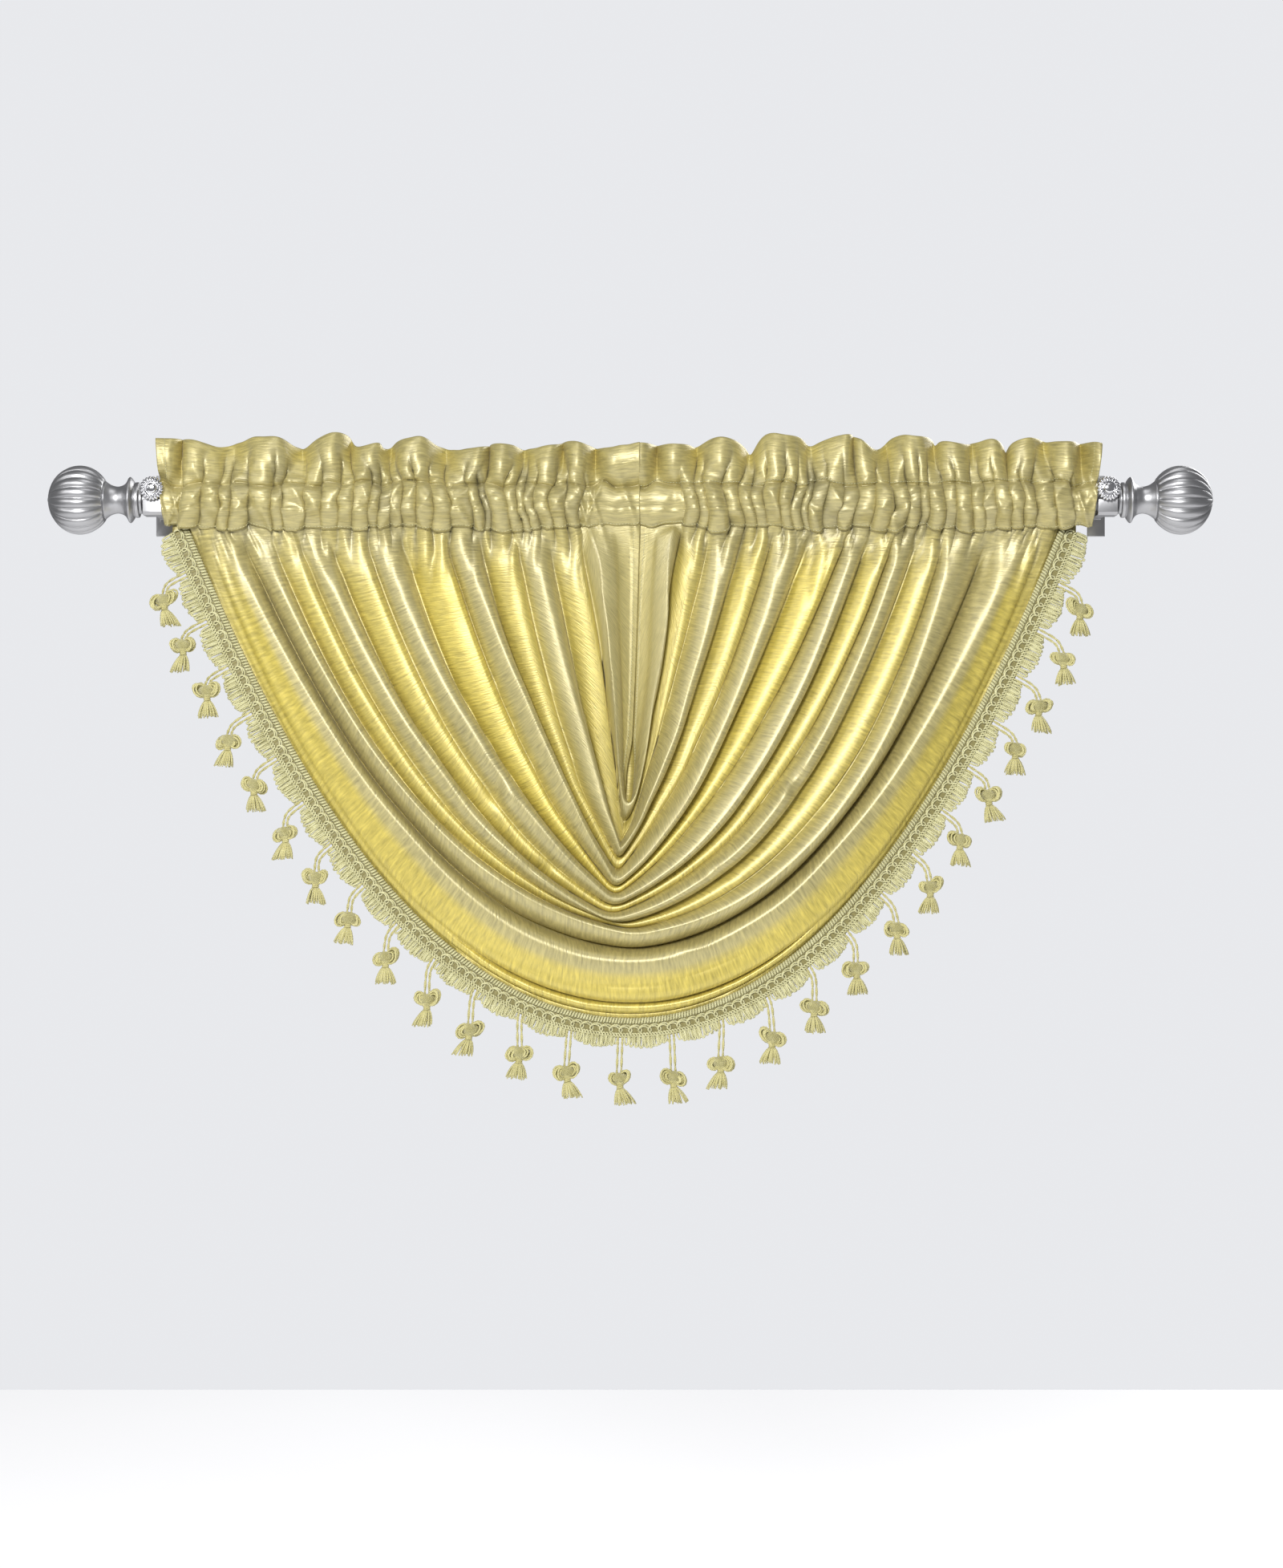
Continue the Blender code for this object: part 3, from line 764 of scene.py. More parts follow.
@dataclass
class Valance:
    """The cloth: one sheet from the hem behind the rod on the left to the one on the right."""

    thick: float = 0.0011
    column_pitch: float = 0.0021  # at the pocket
    column_range: tuple[int, int] = (8, 26)  # least and most between two crests
    swag_rows: int = 84
    header_rows: int = 64
    header_columns: int = 400

    # The drape.
    band: float = 0.018
    band_columns: int = 7
    band_fold: int = 12  # the first crest whose hollow opens near the tip alone
    valley: float = 0.011
    valley_shift: float = 0.12  # of the gap
    ridge_gain: float = 0.12  # of the gap, for the ridges near the tip
    alike_from: float = 0.84  # of the way down, where both sides' creases grow alike
    soft_turn: tuple[float, float] = (0.06, 0.24)  # half of a sharp change of tone, and more
    band_turn: tuple[float, float] = (0.16, 0.34)  # the same and its place, above the hem
    hollow_bounce_tone: float = 0.8  # in a hollow: yellower, painted light bounced between the folds
    hollow_bounce_share: float = 0.3
    lean: float = 0.0034
    lean_height: float = 0.008  # of the ridge that leans so far
    wander: float = 0.0016  # of a crest's line
    uneven: float = 0.16  # of a crest's height
    tube_part: dict[int, float] = field(default_factory=lambda: {1: 0.0085, 2: 0.0045})
    head_stand: float = 1.6  # how much more the crests stand at the pocket than in the solids
    top_tuck: float = 0.0100  # of the drape, up behind the pocket's lower stitches
    come_forward: float = 0.030  # how far down it has come forward to its folds
    top_forward: tuple[float, float] = (0.0012, 0.0044)  # at the margin, and more at the folds
    drape_gather: float = 0.0080
    drape_fade: float = 0.022  # how soon the pocket's gathers die out in it
    pale_top: float = 0.12  # its tone beside the pocket: the grey-gold of painted sheen
    pale_over: float = 0.045
    lens: float = 0.0038  # half of the slit's opening above its lower end
    underlap: tuple[float, float] = (0.006, 0.020)  # cloth turned under at the slit
    underlap_across: tuple[float, ...] = (1.0, 0.6, 0.25, 0.02)  # of its width
    underlap_back: tuple[float, ...] = (0.0050, 0.0046, 0.0040, 0.0026)
    underlap_tone: float = 0.55
    crease_half: float = 0.0032  # of the small hanging creases
    slack: tuple[float, float] = (0.0009, 0.0006)  # of the slight unevenness, coarse and fine
    pucker: float = 0.0016  # beside the tape
    hem_width: float = 0.0085
    hem_step: float = 0.0007
    right_back: float = 0.0022  # the right half's edge behind the left's at the slit

    # The header and the pocket.
    seam_x: float = 0.009
    lap: float = 0.0006  # of the halves at the seam
    header_end: dict[int, tuple[float, float]] = field(
        default_factory=lambda: {-1: (-0.4655, -0.4735), 1: (0.4615, 0.4705)}
    )
    ruffle_wave: float = 0.0138
    ruffle_belly: float = 0.0045
    gather: float = 0.0112
    gather_gap: float = 0.014  # between the creases of a bulge of that size
    overhang: float = 0.20
    thin_ridge: float = 0.30
    crumple: float = 0.0042  # of the slanting creases
    bridge: float = 0.0040  # how far the gathers fill the pinch over the rod
    weak: tuple[float, float] = (0.08, 0.42)  # how weak a crease is, mean and chance
    tuck_wander: tuple[float, float] = (0.0050, 0.0014)  # coarse and fine
    lap_forward: float = 0.0012  # of the left half over the right one
    top_ripple: float = 0.0012  # of the header's upper edge
    stitch_ripple: float = 0.0034  # of the line between pocket and ruffle
    pocket_ripple: float = 0.0009
    foot_hang: tuple[float, float] = (0.0055, 0.0030)  # of the pocket's foot: bulges, chance
    swing: float = 0.0030  # of the ruffle's waves to the side

    surfaces: dict[str, Array] = field(default_factory=dict)  # made by build
    flat: tuple[float, float] = (1.50, 0.52)
    flat_area: float = 0.60
    header_flat: tuple[float, float] = (0.62, 0.20)

    def shares(self) -> list[tuple[int, Array]]:
        """For each crest, where the columns from it to the next lie, from 0 to 1."""
        found = []
        for k, (here, after) in enumerate(zip(FOLDS, FOLDS[1:])):
            left, right = after.left_head - here.left_head, after.right_head - here.right_head
            wide = max(abs(left), abs(right))
            count = int(np.clip(round(wide / self.column_pitch), *self.column_range))
            share = np.arange(count) / count
            found.append((k, share**1.4 if k == 0 else share))
        return found

    def swag(self, side: int, t: Array) -> tuple[Array, Array]:
        """One side of the drape, out to the plain margin under the tape.

        Args:
            side: -1 left, 1 right.
            t: stations from the pocket to the tip.

        Returns:
            Points as stations by columns by 3, and the tone of each.
        """
        folds = [self._hollow(k, share[:, None], side, t) for k, share in self.shares()]
        edge = crest(FOLDS[-1], side, t)
        out = np.linspace(0, self.band, self.band_columns)[:, None, None]
        place = edge.points + out * outward(edge.along, side)
        front = np.broadcast_to(drop_forward(FOLDS[-1], t), place.shape[:2])
        margin = np.stack([place[..., 0], -front, place[..., 1]], axis=-1)
        points = np.concatenate([*(fold[0] for fold in folds), margin])
        tone = np.concatenate([*(fold[1] for fold in folds), np.full(front.shape, FOLDS[-1].tone)])
        return points.swapaxes(0, 1), tone.T

    def _hollow(self, k: int, f: Array, side: int, t: Array) -> tuple[Array, Array]:
        """The cloth from a crest to the next.

        The place is a straight blend of the two crests' lines. Forward, with u the way
        from crest to hollow or on from it, it falls as 1 - (1 - u^2)^0.55 and rises as
        (1 - (1 - u)^2.2)^0.75. Each ridge leans to the viewer's right, where it ends in a
        sharp crease; to its left it passes softly into the yellow fold beside it.

        Args:
            k: the crest's number.
            f: the way to the next one, from 0 to 1, as columns by 1.
            side: -1 left, 1 right.
            t: stations from the pocket to the tip.

        Returns:
            Points as columns by stations by 3, and the tone of each.
        """
        here, after = FOLDS[k], FOLDS[k + 1]
        low = [self._line(i, side, t) for i in (k, k + 1)]
        rise = [self._stand(i, t, side * (1 - t)) for i in (k, k + 1)]
        gap = np.linalg.norm(low[1] - low[0], axis=1)
        step = here.tone - after.tone
        sharp = 1.0 if abs(step) < 0.2 or (step < 0) == (side > 0) else 0.0
        sharp = sharp + (0.6 - sharp) * ease((t - self.alike_from) / (1 - self.alike_from))
        deep = self.valley * np.minimum(1, 0.7 + 1.2 * t) * (0.45 + 0.55 * sharp)
        mean = 0.5 * (rise[0] + rise[1])
        fall = here.hollow * (1 if k < self.band_fold else ease((t - 0.5) / 0.3))
        floor = mean - np.minimum((mean + deep) * fall, 1.05 * gap + 0.001)
        low_at = 0.5 + self.valley_shift * step * (2 * sharp - 1)
        low_at = low_at - self.ridge_gain * step * ease((t - 0.3) / 0.4)
        falls = f < low_at
        u = np.where(falls, f / low_at, (f - low_at) / (1 - low_at))
        down = rise[0] + (floor - rise[0]) * (1 - (1 - u * u) ** 0.55)
        up = floor + (rise[1] - floor) * (1 - (1 - u) ** 2.2) ** 0.75
        height = np.where(falls, down, up)

        last = len(FOLDS) - 1
        hang = [min(1.0, i, max(0.0, (last - 2 - i) / 3)) for i in (k, k + 1)]
        free = np.sin(np.pi * np.clip(t, 0, 1)) ** 0.6
        lean = self.lean * free * ((1 - f) * hang[0] + f * hang[1]) * height / self.lean_height
        place = (1 - f[..., None]) * low[0] + f[..., None] * low[1]
        base = (1 - f) * drop_forward(here, t) + f * drop_forward(after, t)
        points = np.stack([place[..., 0] + lean, -(base + height), place[..., 1]], axis=-1)

        reach, turn_at = self.soft_turn[0] + self.soft_turn[1] * (1 - sharp), low_at
        if here.name == "j":  # the broad yellow band above the hem
            reach, turn_at = self.band_turn
        over = ease((f - turn_at + reach) / (2 * reach))
        tone = here.tone + (after.tone - here.tone) * over
        # Deep in a hollow the tone turns towards yellow: painted light bounced between the folds
        depth = np.where(falls, u, 1 - u)
        share = self.hollow_bounce_share * depth**4 * here.hollow * np.minimum(1, 3 * t)
        return points, tone + (self.hollow_bounce_tone - tone) * share

    def _line(self, k: int, side: int, t: Array) -> Array:
        """A crest's line with a slight wander square to it, none at the pocket or the margin.

        Those beside the slit run down along it and turn in at the end, by sqrt(1 - t^14).
        """
        line = crest(FOLDS[k], side, t)
        inner = 0.0 if k == 0 else min(1.0, (len(FOLDS) - 1 - k) / 3)
        sway = self.wander * inner * ripples(side * (1 - t) + 3, 0.13, 40 + k)
        sway = sway * np.sin(np.pi * np.minimum(1, t * 1.2) / 2) * np.sin(np.pi * t)
        points = line.points + sway[:, None] * outward(line.along, side)
        part = self.tube_part.get(k, 0.0)
        points[:, 0] += side * part * ease((t - 0.1) / 0.5) * np.sqrt(1 - t**14)
        return points

    def _stand(self, k: int, t: Array, signed: Array) -> Array:
        """How far a crest stands forward: from its head value to its tip value, a little uneven."""
        fold = FOLDS[k]
        head = self.head_stand * fold.stand_head
        even = head + (fold.stand_tip - head) * np.minimum(1, 2 * t)
        return even * (1 + self.uneven * ripples(signed + 3, 0.17, 80 + k))

    def gathers(self, x: Array, height: Array, side: int) -> tuple[Array, Array, Array]:
        """Bulges between the creases across the pocket.

        With f the way from one crease to the next, a bulge is sin(pi f)^1.05, larger where
        the creases lie apart, and it leans out over its creases by sin(2 pi f). The
        creases wander with height, and some are weak. Thin slanting ridges, as the fifth
        power of 1 less the size of a chance wave, lie over the bulges.

        Args:
            x: along the rod.
            height: above its axis.
            side: -1 left, 1 right.

        Returns:
            The bulge, 0 in a crease, the sideways shift, and the painted shade of the creases:
            1 deep in a crease, 0 on the bulges and beyond the outer creases.
        """
        places = np.array(LEFT_TUCKS if side < 0 else RIGHT_TUCKS)
        coarse, fine = self.tuck_wander
        wander = coarse * ripples(height + 0.30 * x + 2, 0.034, 71 + side)
        wander = wander + fine * ripples(height - 0.6 * x + 2, 0.013, 91 + side)
        turn = np.interp(x + wander, places, np.arange(len(places)))
        gap = np.interp(turn, np.arange(len(places) - 1) + 0.5, np.diff(places))
        size = np.clip(np.sqrt(gap / self.gather_gap), 0.6, 1.25)
        size = size * (0.85 + 0.3 * ripples(height + 3 * x + 2, 0.03, 61))
        chance = ripples(np.round(turn) + 0.5 * side + 1, 1.0, 17)
        weak = np.clip(self.weak[0] + self.weak[1] * chance, 0, 0.6)
        thin = (1 - np.abs(ripples(x + 0.30 * height + 3, 0.0135, 111 + side))) ** 5
        thin = thin + (1 - np.abs(ripples(x - 0.45 * height + 3, 0.0165, 121 + side))) ** 5
        bulge = weak + (1 - weak) * np.abs(np.sin(np.pi * turn)) ** 1.05
        puff = size * bulge + self.thin_ridge * thin
        within = ease(turn / 0.5) * ease((len(places) - 1 - turn) / 0.5)
        shift = -self.overhang * gap * np.sin(2 * np.pi * turn)
        # The third value is painted shade for the creases
        return puff, shift, ease((0.92 - puff) / 0.75) * within

    def header(self, side: int) -> tuple[Array, Array]:
        """One side's header and pocket, from the hem behind the rod over the top to the front.

        The ruffle's wave is 2 |cos|^1.6 - 1 between its crests. Pocket and pinch take the
        gathers, and the top edge takes its own line and a slight chance wave.

        Args:
            side: -1 left, 1 right.

        Returns:
            Points as rows by columns by 3, and their tone.
        """
        front = [(-out, *rest) for out, *rest in BACK_HALF[:1:-1]]  # mirrors the back
        path = rounded([*BACK_HALF, *TOP_ROW, *front, *FRONT_FOOT], self.header_rows)
        out, height, waves, fine = (path[:, i : i + 1] for i in range(4))
        low, high = self.header_end[side]
        foot = BACK_HALF[0][1]
        reach = low + (high - low) * (height - foot) / (TOP_Z - foot)
        start = self.seam_x - side * self.lap
        x = start + np.linspace(0, 1, self.header_columns)[None, :] * (reach - start)
        crests = LEFT_CRESTS if side < 0 else RIGHT_CRESTS
        turns = np.interp(x, crests, 2 * np.pi * np.arange(len(crests)))
        wave = (2 * np.abs(np.cos(turns / 2)) ** 1.6 - 1) * (0.75 + 0.25 * ripples(x, 0.05, 5))
        puff, shift, dark = self.gathers(x, height, side)
        lift = np.maximum(0, height - STITCH_Z) / (TOP_Z - STITCH_Z)
        shared = ease(lift / 0.15)
        away = np.where(out > 0, 1.0, 0.8 * shared - (1 - shared))
        crumple = np.abs(ripples(x + 1.2 * height + 3, 0.023, 15 + side))
        crumple = crumple + np.abs(ripples(x - 1.4 * height + 3, 0.019, 25 + side))
        crumple = crumple * ease((np.abs(x - self.seam_x) - 0.03) / 0.03)
        still = 1 - (out > 0) * ease((-height - 0.012) / 0.014)
        y = -(ROD_REACH + out + away * fine * (self.gather * puff + self.crumple * crumple * still))
        y -= self.bridge * puff * bell((height - STITCH_Z) / 0.0060) * (out > 0)
        y -= self.ruffle_wave * waves * wave
        belly = np.sign(out) * np.sin(np.pi * np.minimum(lift, 1)) * (0.5 + 0.5 * wave)
        y -= self.ruffle_belly * belly
        if side < 0:
            y -= self.lap_forward * np.exp(-(self.seam_x - x) / 0.012)
        tops = rounded(LEFT_TOP if side < 0 else RIGHT_TOP, 260)
        level = np.convolve(np.pad(tops[:, 1], 3, "edge"), np.ones(7) / 7, "valid")
        top = np.interp(x, tops[:, 0], level) + self.top_ripple * ripples(x, 0.011, 31 + side)
        z = height + lift * (top - TOP_Z)
        z = z + self.pocket_ripple * ripples(x, 0.014, 51 + side) * (1 - lift)
        at_stitches = bell((height - STITCH_Z) / 0.009)
        z = z + self.stitch_ripple * ripples(x, 0.013, 55 + side) * at_stitches
        hang = self.foot_hang[0] * (puff - 0.75)
        hang = hang + self.foot_hang[1] * ripples(x, 0.021, 57 + side)
        z = z - hang * bell((height + 0.028) / 0.008) * (out > 0)
        # Painted shade: deep in a crease the tone drops to -1, which darkens the colour. Up the
        # ruffle the tone is the grey-gold of painted sheen on the crests and yellower in the
        # troughs.
        dark = dark * np.minimum(1, 1.4 * fine)
        tone = (0.08 + 0.60 * (0.5 - 0.5 * wave) * lift) * (1 - dark) - dark
        x = x + shift * (1 - np.clip(lift, 0, 1)) ** 1.5
        x = x + self.swing * waves * np.sin(turns) * np.clip((reach - x) * side / 0.03, 0, 1)
        return np.stack([x, y, z], axis=-1), tone

    def drape(self) -> tuple[Array, Array]:
        """The middle surface between the two pockets, from left to right, and its tone.

        Its first rows lie behind the pocket's lower stitches.
        """
        t = np.linspace(0, 1, self.swag_rows)
        parts, tones = [], []
        for side in SIDES:
            drop, tone = self.swag(side, t)
            step = np.linalg.norm(np.gradient(drop[:, :1], axis=0), axis=-1)
            gone = np.cumsum(step, axis=0) - step[0]
            leave = ease(gone / self.come_forward)
            # Beside the pocket the tone stays near the grey-gold of painted sheen
            paled = 0.25 + 0.75 * ease(gone / self.pale_over)
            tone = self.pale_top + (tone - self.pale_top) * paled
            puff, shift, dark = self.gathers(drop[..., 0], drop[..., 2], side)
            inner, margin = self._inner(drop.shape[1]), self.band_columns
            flat = -(ROD_REACH + self.top_forward[0] + self.top_forward[1] * inner)
            drop[..., 1] = flat + (drop[..., 1] - flat) * leave
            fade = np.exp(-((HEAD_Z - drop[..., 2]) / self.drape_fade))
            drop[:, :-margin, 1] -= (self.drape_gather * fade * puff)[:, :-margin]
            drop[:, 12:-9, 0] += (0.6 * fade * shift)[:, 12:-9]
            # Painted shade in the pocket's creases, fading out down the drape
            dark = dark * fade * inner
            tone = tone * (1 - dark) - dark
            top = drop[:1].copy()
            top[..., 2] += self.top_tuck
            parts.append(np.concatenate([top, drop]))
            tones.append(np.concatenate([tone[:1], tone]))
        grid = np.concatenate([parts[0], parts[1][-2::-1]])
        tone = np.concatenate([tones[0], tones[1][-2::-1]])
        self._details(grid)
        self._soften(grid)
        return self._turn_under(grid, tone)

    @staticmethod
    def _inner(columns: int) -> Array:
        """1 for the columns of the folds, down to 0 for those of the margin."""
        return ease((columns - 8 - np.arange(columns)) / 10)

    def _turn_under(self, grid: Array, tone: Array) -> tuple[Array, Array]:
        """Adds the cloth turned under at the slit: the right half's runs on behind the left's."""
        rows = len(grid)
        share = ease((np.arange(rows) - rows * 0.42) / (rows * 0.16))[:, None]
        width = self.underlap[0] + (self.underlap[1] - self.underlap[0]) * share
        count = len(self.underlap_across)
        extra = np.repeat(grid[:, :1], count, axis=1)
        extra[..., 0] -= width * self.underlap_across
        extra[..., 1] += self.underlap_back
        under = np.full((rows, count), self.underlap_tone)
        return np.concatenate([extra, grid], axis=1), np.concatenate([under, tone], axis=1)

    def _details(self, grid: Array) -> None:
        """Presses the hanging creases, the kinks, the hem and slight unevenness into the drape.

        A crease lies where ((x-x0)/half)^2 + ((z-top)/drop)^2 is 1. A kink is
        exp(-((x-x0)/wide)^2 - ((z-z0)/tall)^2). The slit opens as a lens above its end.
        """
        x, y, z = (grid[..., i] for i in range(3))
        for loop in LOOPS:
            round_it = np.sqrt(((x - loop.x) / loop.half) ** 2 + ((z - HEAD_Z) / loop.drop) ** 2)
            crease = bell((round_it - 1) * loop.half / self.crease_half)
            inside = np.clip(1 - round_it**2, 0, 1)
            free = ease((HEAD_Z - z) / 0.006)
            y += free * loop.press * (0.8 * crease - 0.55 * inside)
        for kink in KINKS:
            y += kink.depth * bell((x - kink.x) / kink.wide) * bell((z - kink.z) / kink.tall)
        inner = np.ones(grid.shape[1])
        inner[-9:] = np.linspace(1, 0, 9) ** 2
        y += self.slack[0] * inner * ripples(x * 0.8 + z * 0.6 + 5, 0.047, 3)
        y += self.slack[1] * inner * ripples(x * 0.5 - z * 0.9 + 5, 0.031, 4)
        column = np.arange(-grid.shape[1], 0)
        beside = bell((column + 12) / 5.0) * (column < -self.band_columns)
        y -= self.pucker * beside * ripples(x + 5, 0.013, 9) * ease((-0.40 - z) / 0.08)
        gone = gone_along(grid, 1)
        y -= self.hem_step * ease((self.hem_width - gone) / 0.0012)
        middle = len(grid) // 2
        place = np.arange(len(grid))[:, None] - middle
        y += self.right_back * (place > 6) * np.exp(-gone / 0.014)
        open_up = ease((-z[:, :1] - 0.236) / 0.038)
        open_up = open_up * np.sqrt(np.clip((z[:, :1] + 0.3062) / 0.010, 0, 1))
        x += self.lens * np.sign(place) * open_up * np.exp(-gone / 0.010)

    def _soften(self, grid: Array) -> None:
        """Rounds the turn at the tips: each point becomes the mean of itself and its neighbours
        along the fold, more often the nearer it is to the tip."""
        middle = len(grid) // 2
        for reach in (9, 6, 4, 3, 2, 1):
            rows = slice(middle - reach, middle + reach + 1)
            before = grid[middle - reach - 1 : middle + reach]
            beyond = grid[middle - reach + 1 : middle + reach + 2]
            keep = grid[rows, -8:].copy()
            grid[rows] = 0.5 * grid[rows] + 0.25 * (before + beyond)
            grid[rows, -8:] = keep

    def _sheet(
        self, name: str, grid: Array, tone: Array, look: bpy.types.Material
    ) -> bpy.types.Object:
        """A sheet over a grid, with its map in metres across and along the cloth."""
        u = gone_along(grid, 1)
        v = gone_along(grid).mean(axis=1, keepdims=True)
        uv = np.stack([u, np.broadcast_to(v, u.shape)], axis=-1)
        piece = add_piece(name, lattice(grid, uv), look, np.clip(tone, -1, 1))
        wall = piece.modifiers.new("cloth thickness", "SOLIDIFY")
        wall.thickness = self.thick
        wall.offset = 0.0
        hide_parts("valance_cloth")
        return piece

    def build(self, look: bpy.types.Material) -> list[bpy.types.Object]:
        """Makes the drape and the two headers.

        Returns:
            The drape first.
        """
        self.surfaces["drape"], tone = self.drape()
        made = [self._sheet("drape_sheet", self.surfaces["drape"], tone, look)]
        for side, name in SIDES.items():
            self.surfaces[name], tone = self.header(side)
            made.append(self._sheet(f"header_{name}", self.surfaces[name], tone, look))
        return made


def normals(grid: Array) -> Array:
    """Unit normals of a grid of points."""
    normal = np.cross(np.gradient(grid, axis=0), np.gradient(grid, axis=1))
    return normal / np.linalg.norm(normal, axis=-1, keepdims=True)


@dataclass
class Stitching:
    """Lines of thread that hold the pocket, the ruffle and the hems."""

    pitch: float = 0.0030
    length: float = 0.0021
    radius: float = 0.00036
    header_hem: float = 0.009
    slit_hem: float = 0.0060

    def line(self, path: Array, lift: Array) -> Shape:
        """Stitches along a line: spindles a pitch apart, standing on the cloth.

        Args:
            path: points of the line.
            lift: unit directions off the cloth at those points.

        Returns:
            The stitches.
        """
        gone = gone_along(path)
        starts = np.arange(self.pitch, gone[-1] - self.pitch, self.pitch)
        share = np.linspace(-0.5, 0.5, 4)
        spots = starts[:, None] + share * self.length
        place = np.stack([np.interp(spots, gone, path[:, i]) for i in range(3)], axis=-1)
        off = np.stack([np.interp(spots, gone, lift[:, i]) for i in range(3)], axis=-1)
        place += off * (0.0006 + 0.0003 * np.cos(np.pi * share))[:, None]
        radius = self.radius * np.array([0.45, 1.0, 1.0, 0.45])
        return tubes(place, radius, 4, off.mean(axis=1, keepdims=True))

    def build(self, cloth: Valance, look: bpy.types.Material) -> bpy.types.Object:
        """Sews the pocket's upper and lower lines, and the hems of the slit and the ends."""
        lines = []
        for name in SIDES.values():
            grid = cloth.surfaces[name]
            normal = normals(grid)
            depth, height = grid[:, 0, 1] + ROD_REACH, grid[:, 0, 2]
            for front in (True, False):
                half = np.flatnonzero((depth < 0) == front)
                toward = -1.0 if front else 1.0
                for level in (STITCH_Z, HEM_STITCH_Z):
                    row = half[np.argmin(np.abs(height[half] - level))]
                    flip = np.where(normal[row, :, 1:2] * toward > 0, 1.0, -1.0)
                    lines.append(self.line(grid[row], normal[row] * flip))
            rows = np.flatnonzero((depth < 0) & (height > STITCH_Z))
            lines.append(self._hem(grid[rows][:, ::-1], self.header_hem))
        drape = cloth.surfaces["drape"]
        middle = len(drape) // 2
        for rows in (slice(2, middle - 5), slice(middle + 6, len(drape) - 2)):
            lines.append(self._hem(drape[rows, 4:], self.slit_hem))
        return add_piece("sewing_thread", Shape.join(lines), look)

    def _hem(self, block: Array, inset: float) -> Shape:
        """Stitches on the front, a fixed distance in from the first column of some rows."""
        gone = gone_along(block, 1)
        index = np.clip((gone < inset).sum(axis=1), 1, block.shape[1] - 1)
        row = np.arange(len(block))
        share = (inset - gone[row, index - 1]) / (gone[row, index] - gone[row, index - 1])
        share = np.clip(share, 0, 1)[:, None]
        path = block[row, index - 1] * (1 - share) + block[row, index] * share
        return self.line(path, np.broadcast_to((0.0, -1.0, 0.0), path.shape))


# Trim


@dataclass
class Edge:
    """The line that the tape follows, measured from its lowest point along its lower edge."""

    start: float = 0.001  # the tape's upper edge from the edge crest
    width: float = 0.020
    thick: float = 0.0022
    gap: float = 0.0004
    cloth: float = 0.0015
    spare: float = 0.001  # bare tape at each end

    def __post_init__(self) -> None:
        """Works out the line, its normals and its place forward."""
        fold, t = FOLDS[-1], np.linspace(0, 1, 400)
        left, right = crest(fold, -1, t), crest(fold, 1, t)
        self.line = np.concatenate([left.points, right.points[-2::-1]])
        normal = np.concatenate([outward(left.along, -1), outward(right.along, 1)[-2::-1]])
        self.normal = normal / np.linalg.norm(normal, axis=1, keepdims=True)
        front = drop_forward(fold, t)
        self.front = np.concatenate([front, front[-2::-1]])
        low = self.line + self.lower * self.normal
        gone = gone_along(low)
        self.along = gone - gone[len(t) - 1]

    @property
    def lower(self) -> float:
        """The tape's lower edge from the edge crest."""
        return self.start + self.width

    @property
    def face(self) -> float:
        """The middle of the tape in front of the cloth's middle."""
        return self.cloth / 2 + self.gap + self.thick / 2

    def at(self, u: Array, out: Array, lift: Array | float = 0.0) -> Array:
        """The point at u along, out from the edge crest and lift in front of the margin."""
        u, out, lift = np.broadcast_arrays(u, out, lift)
        x, z, nx, nz, front = (
            np.interp(u, self.along, part) for part in (*self.line.T, *self.normal.T, self.front)
        )
        return np.stack([x + out * nx, -front - lift, z + out * nz], axis=-1)

    def way(self, u: float) -> Array:
        """Along the tape, towards its right end."""
        across, up = (np.interp(u, self.along, part) for part in self.normal.T)
        return np.array([-up, 0.0, across])

    def level(self, u: Array | float) -> Array:
        """0 where the tape hangs upright, 1 where it runs level."""
        return -np.interp(u, self.along, self.normal[:, 1])


@dataclass
class TasselRow:
    """Places of the tassels along the tape."""

    count: int = 27
    pitch: float = 0.0512
    middle: float = -0.010

    def places(self) -> Array:
        """Where each cord leaves the tape."""
        return self.middle + (np.arange(self.count) - self.count // 2) * self.pitch


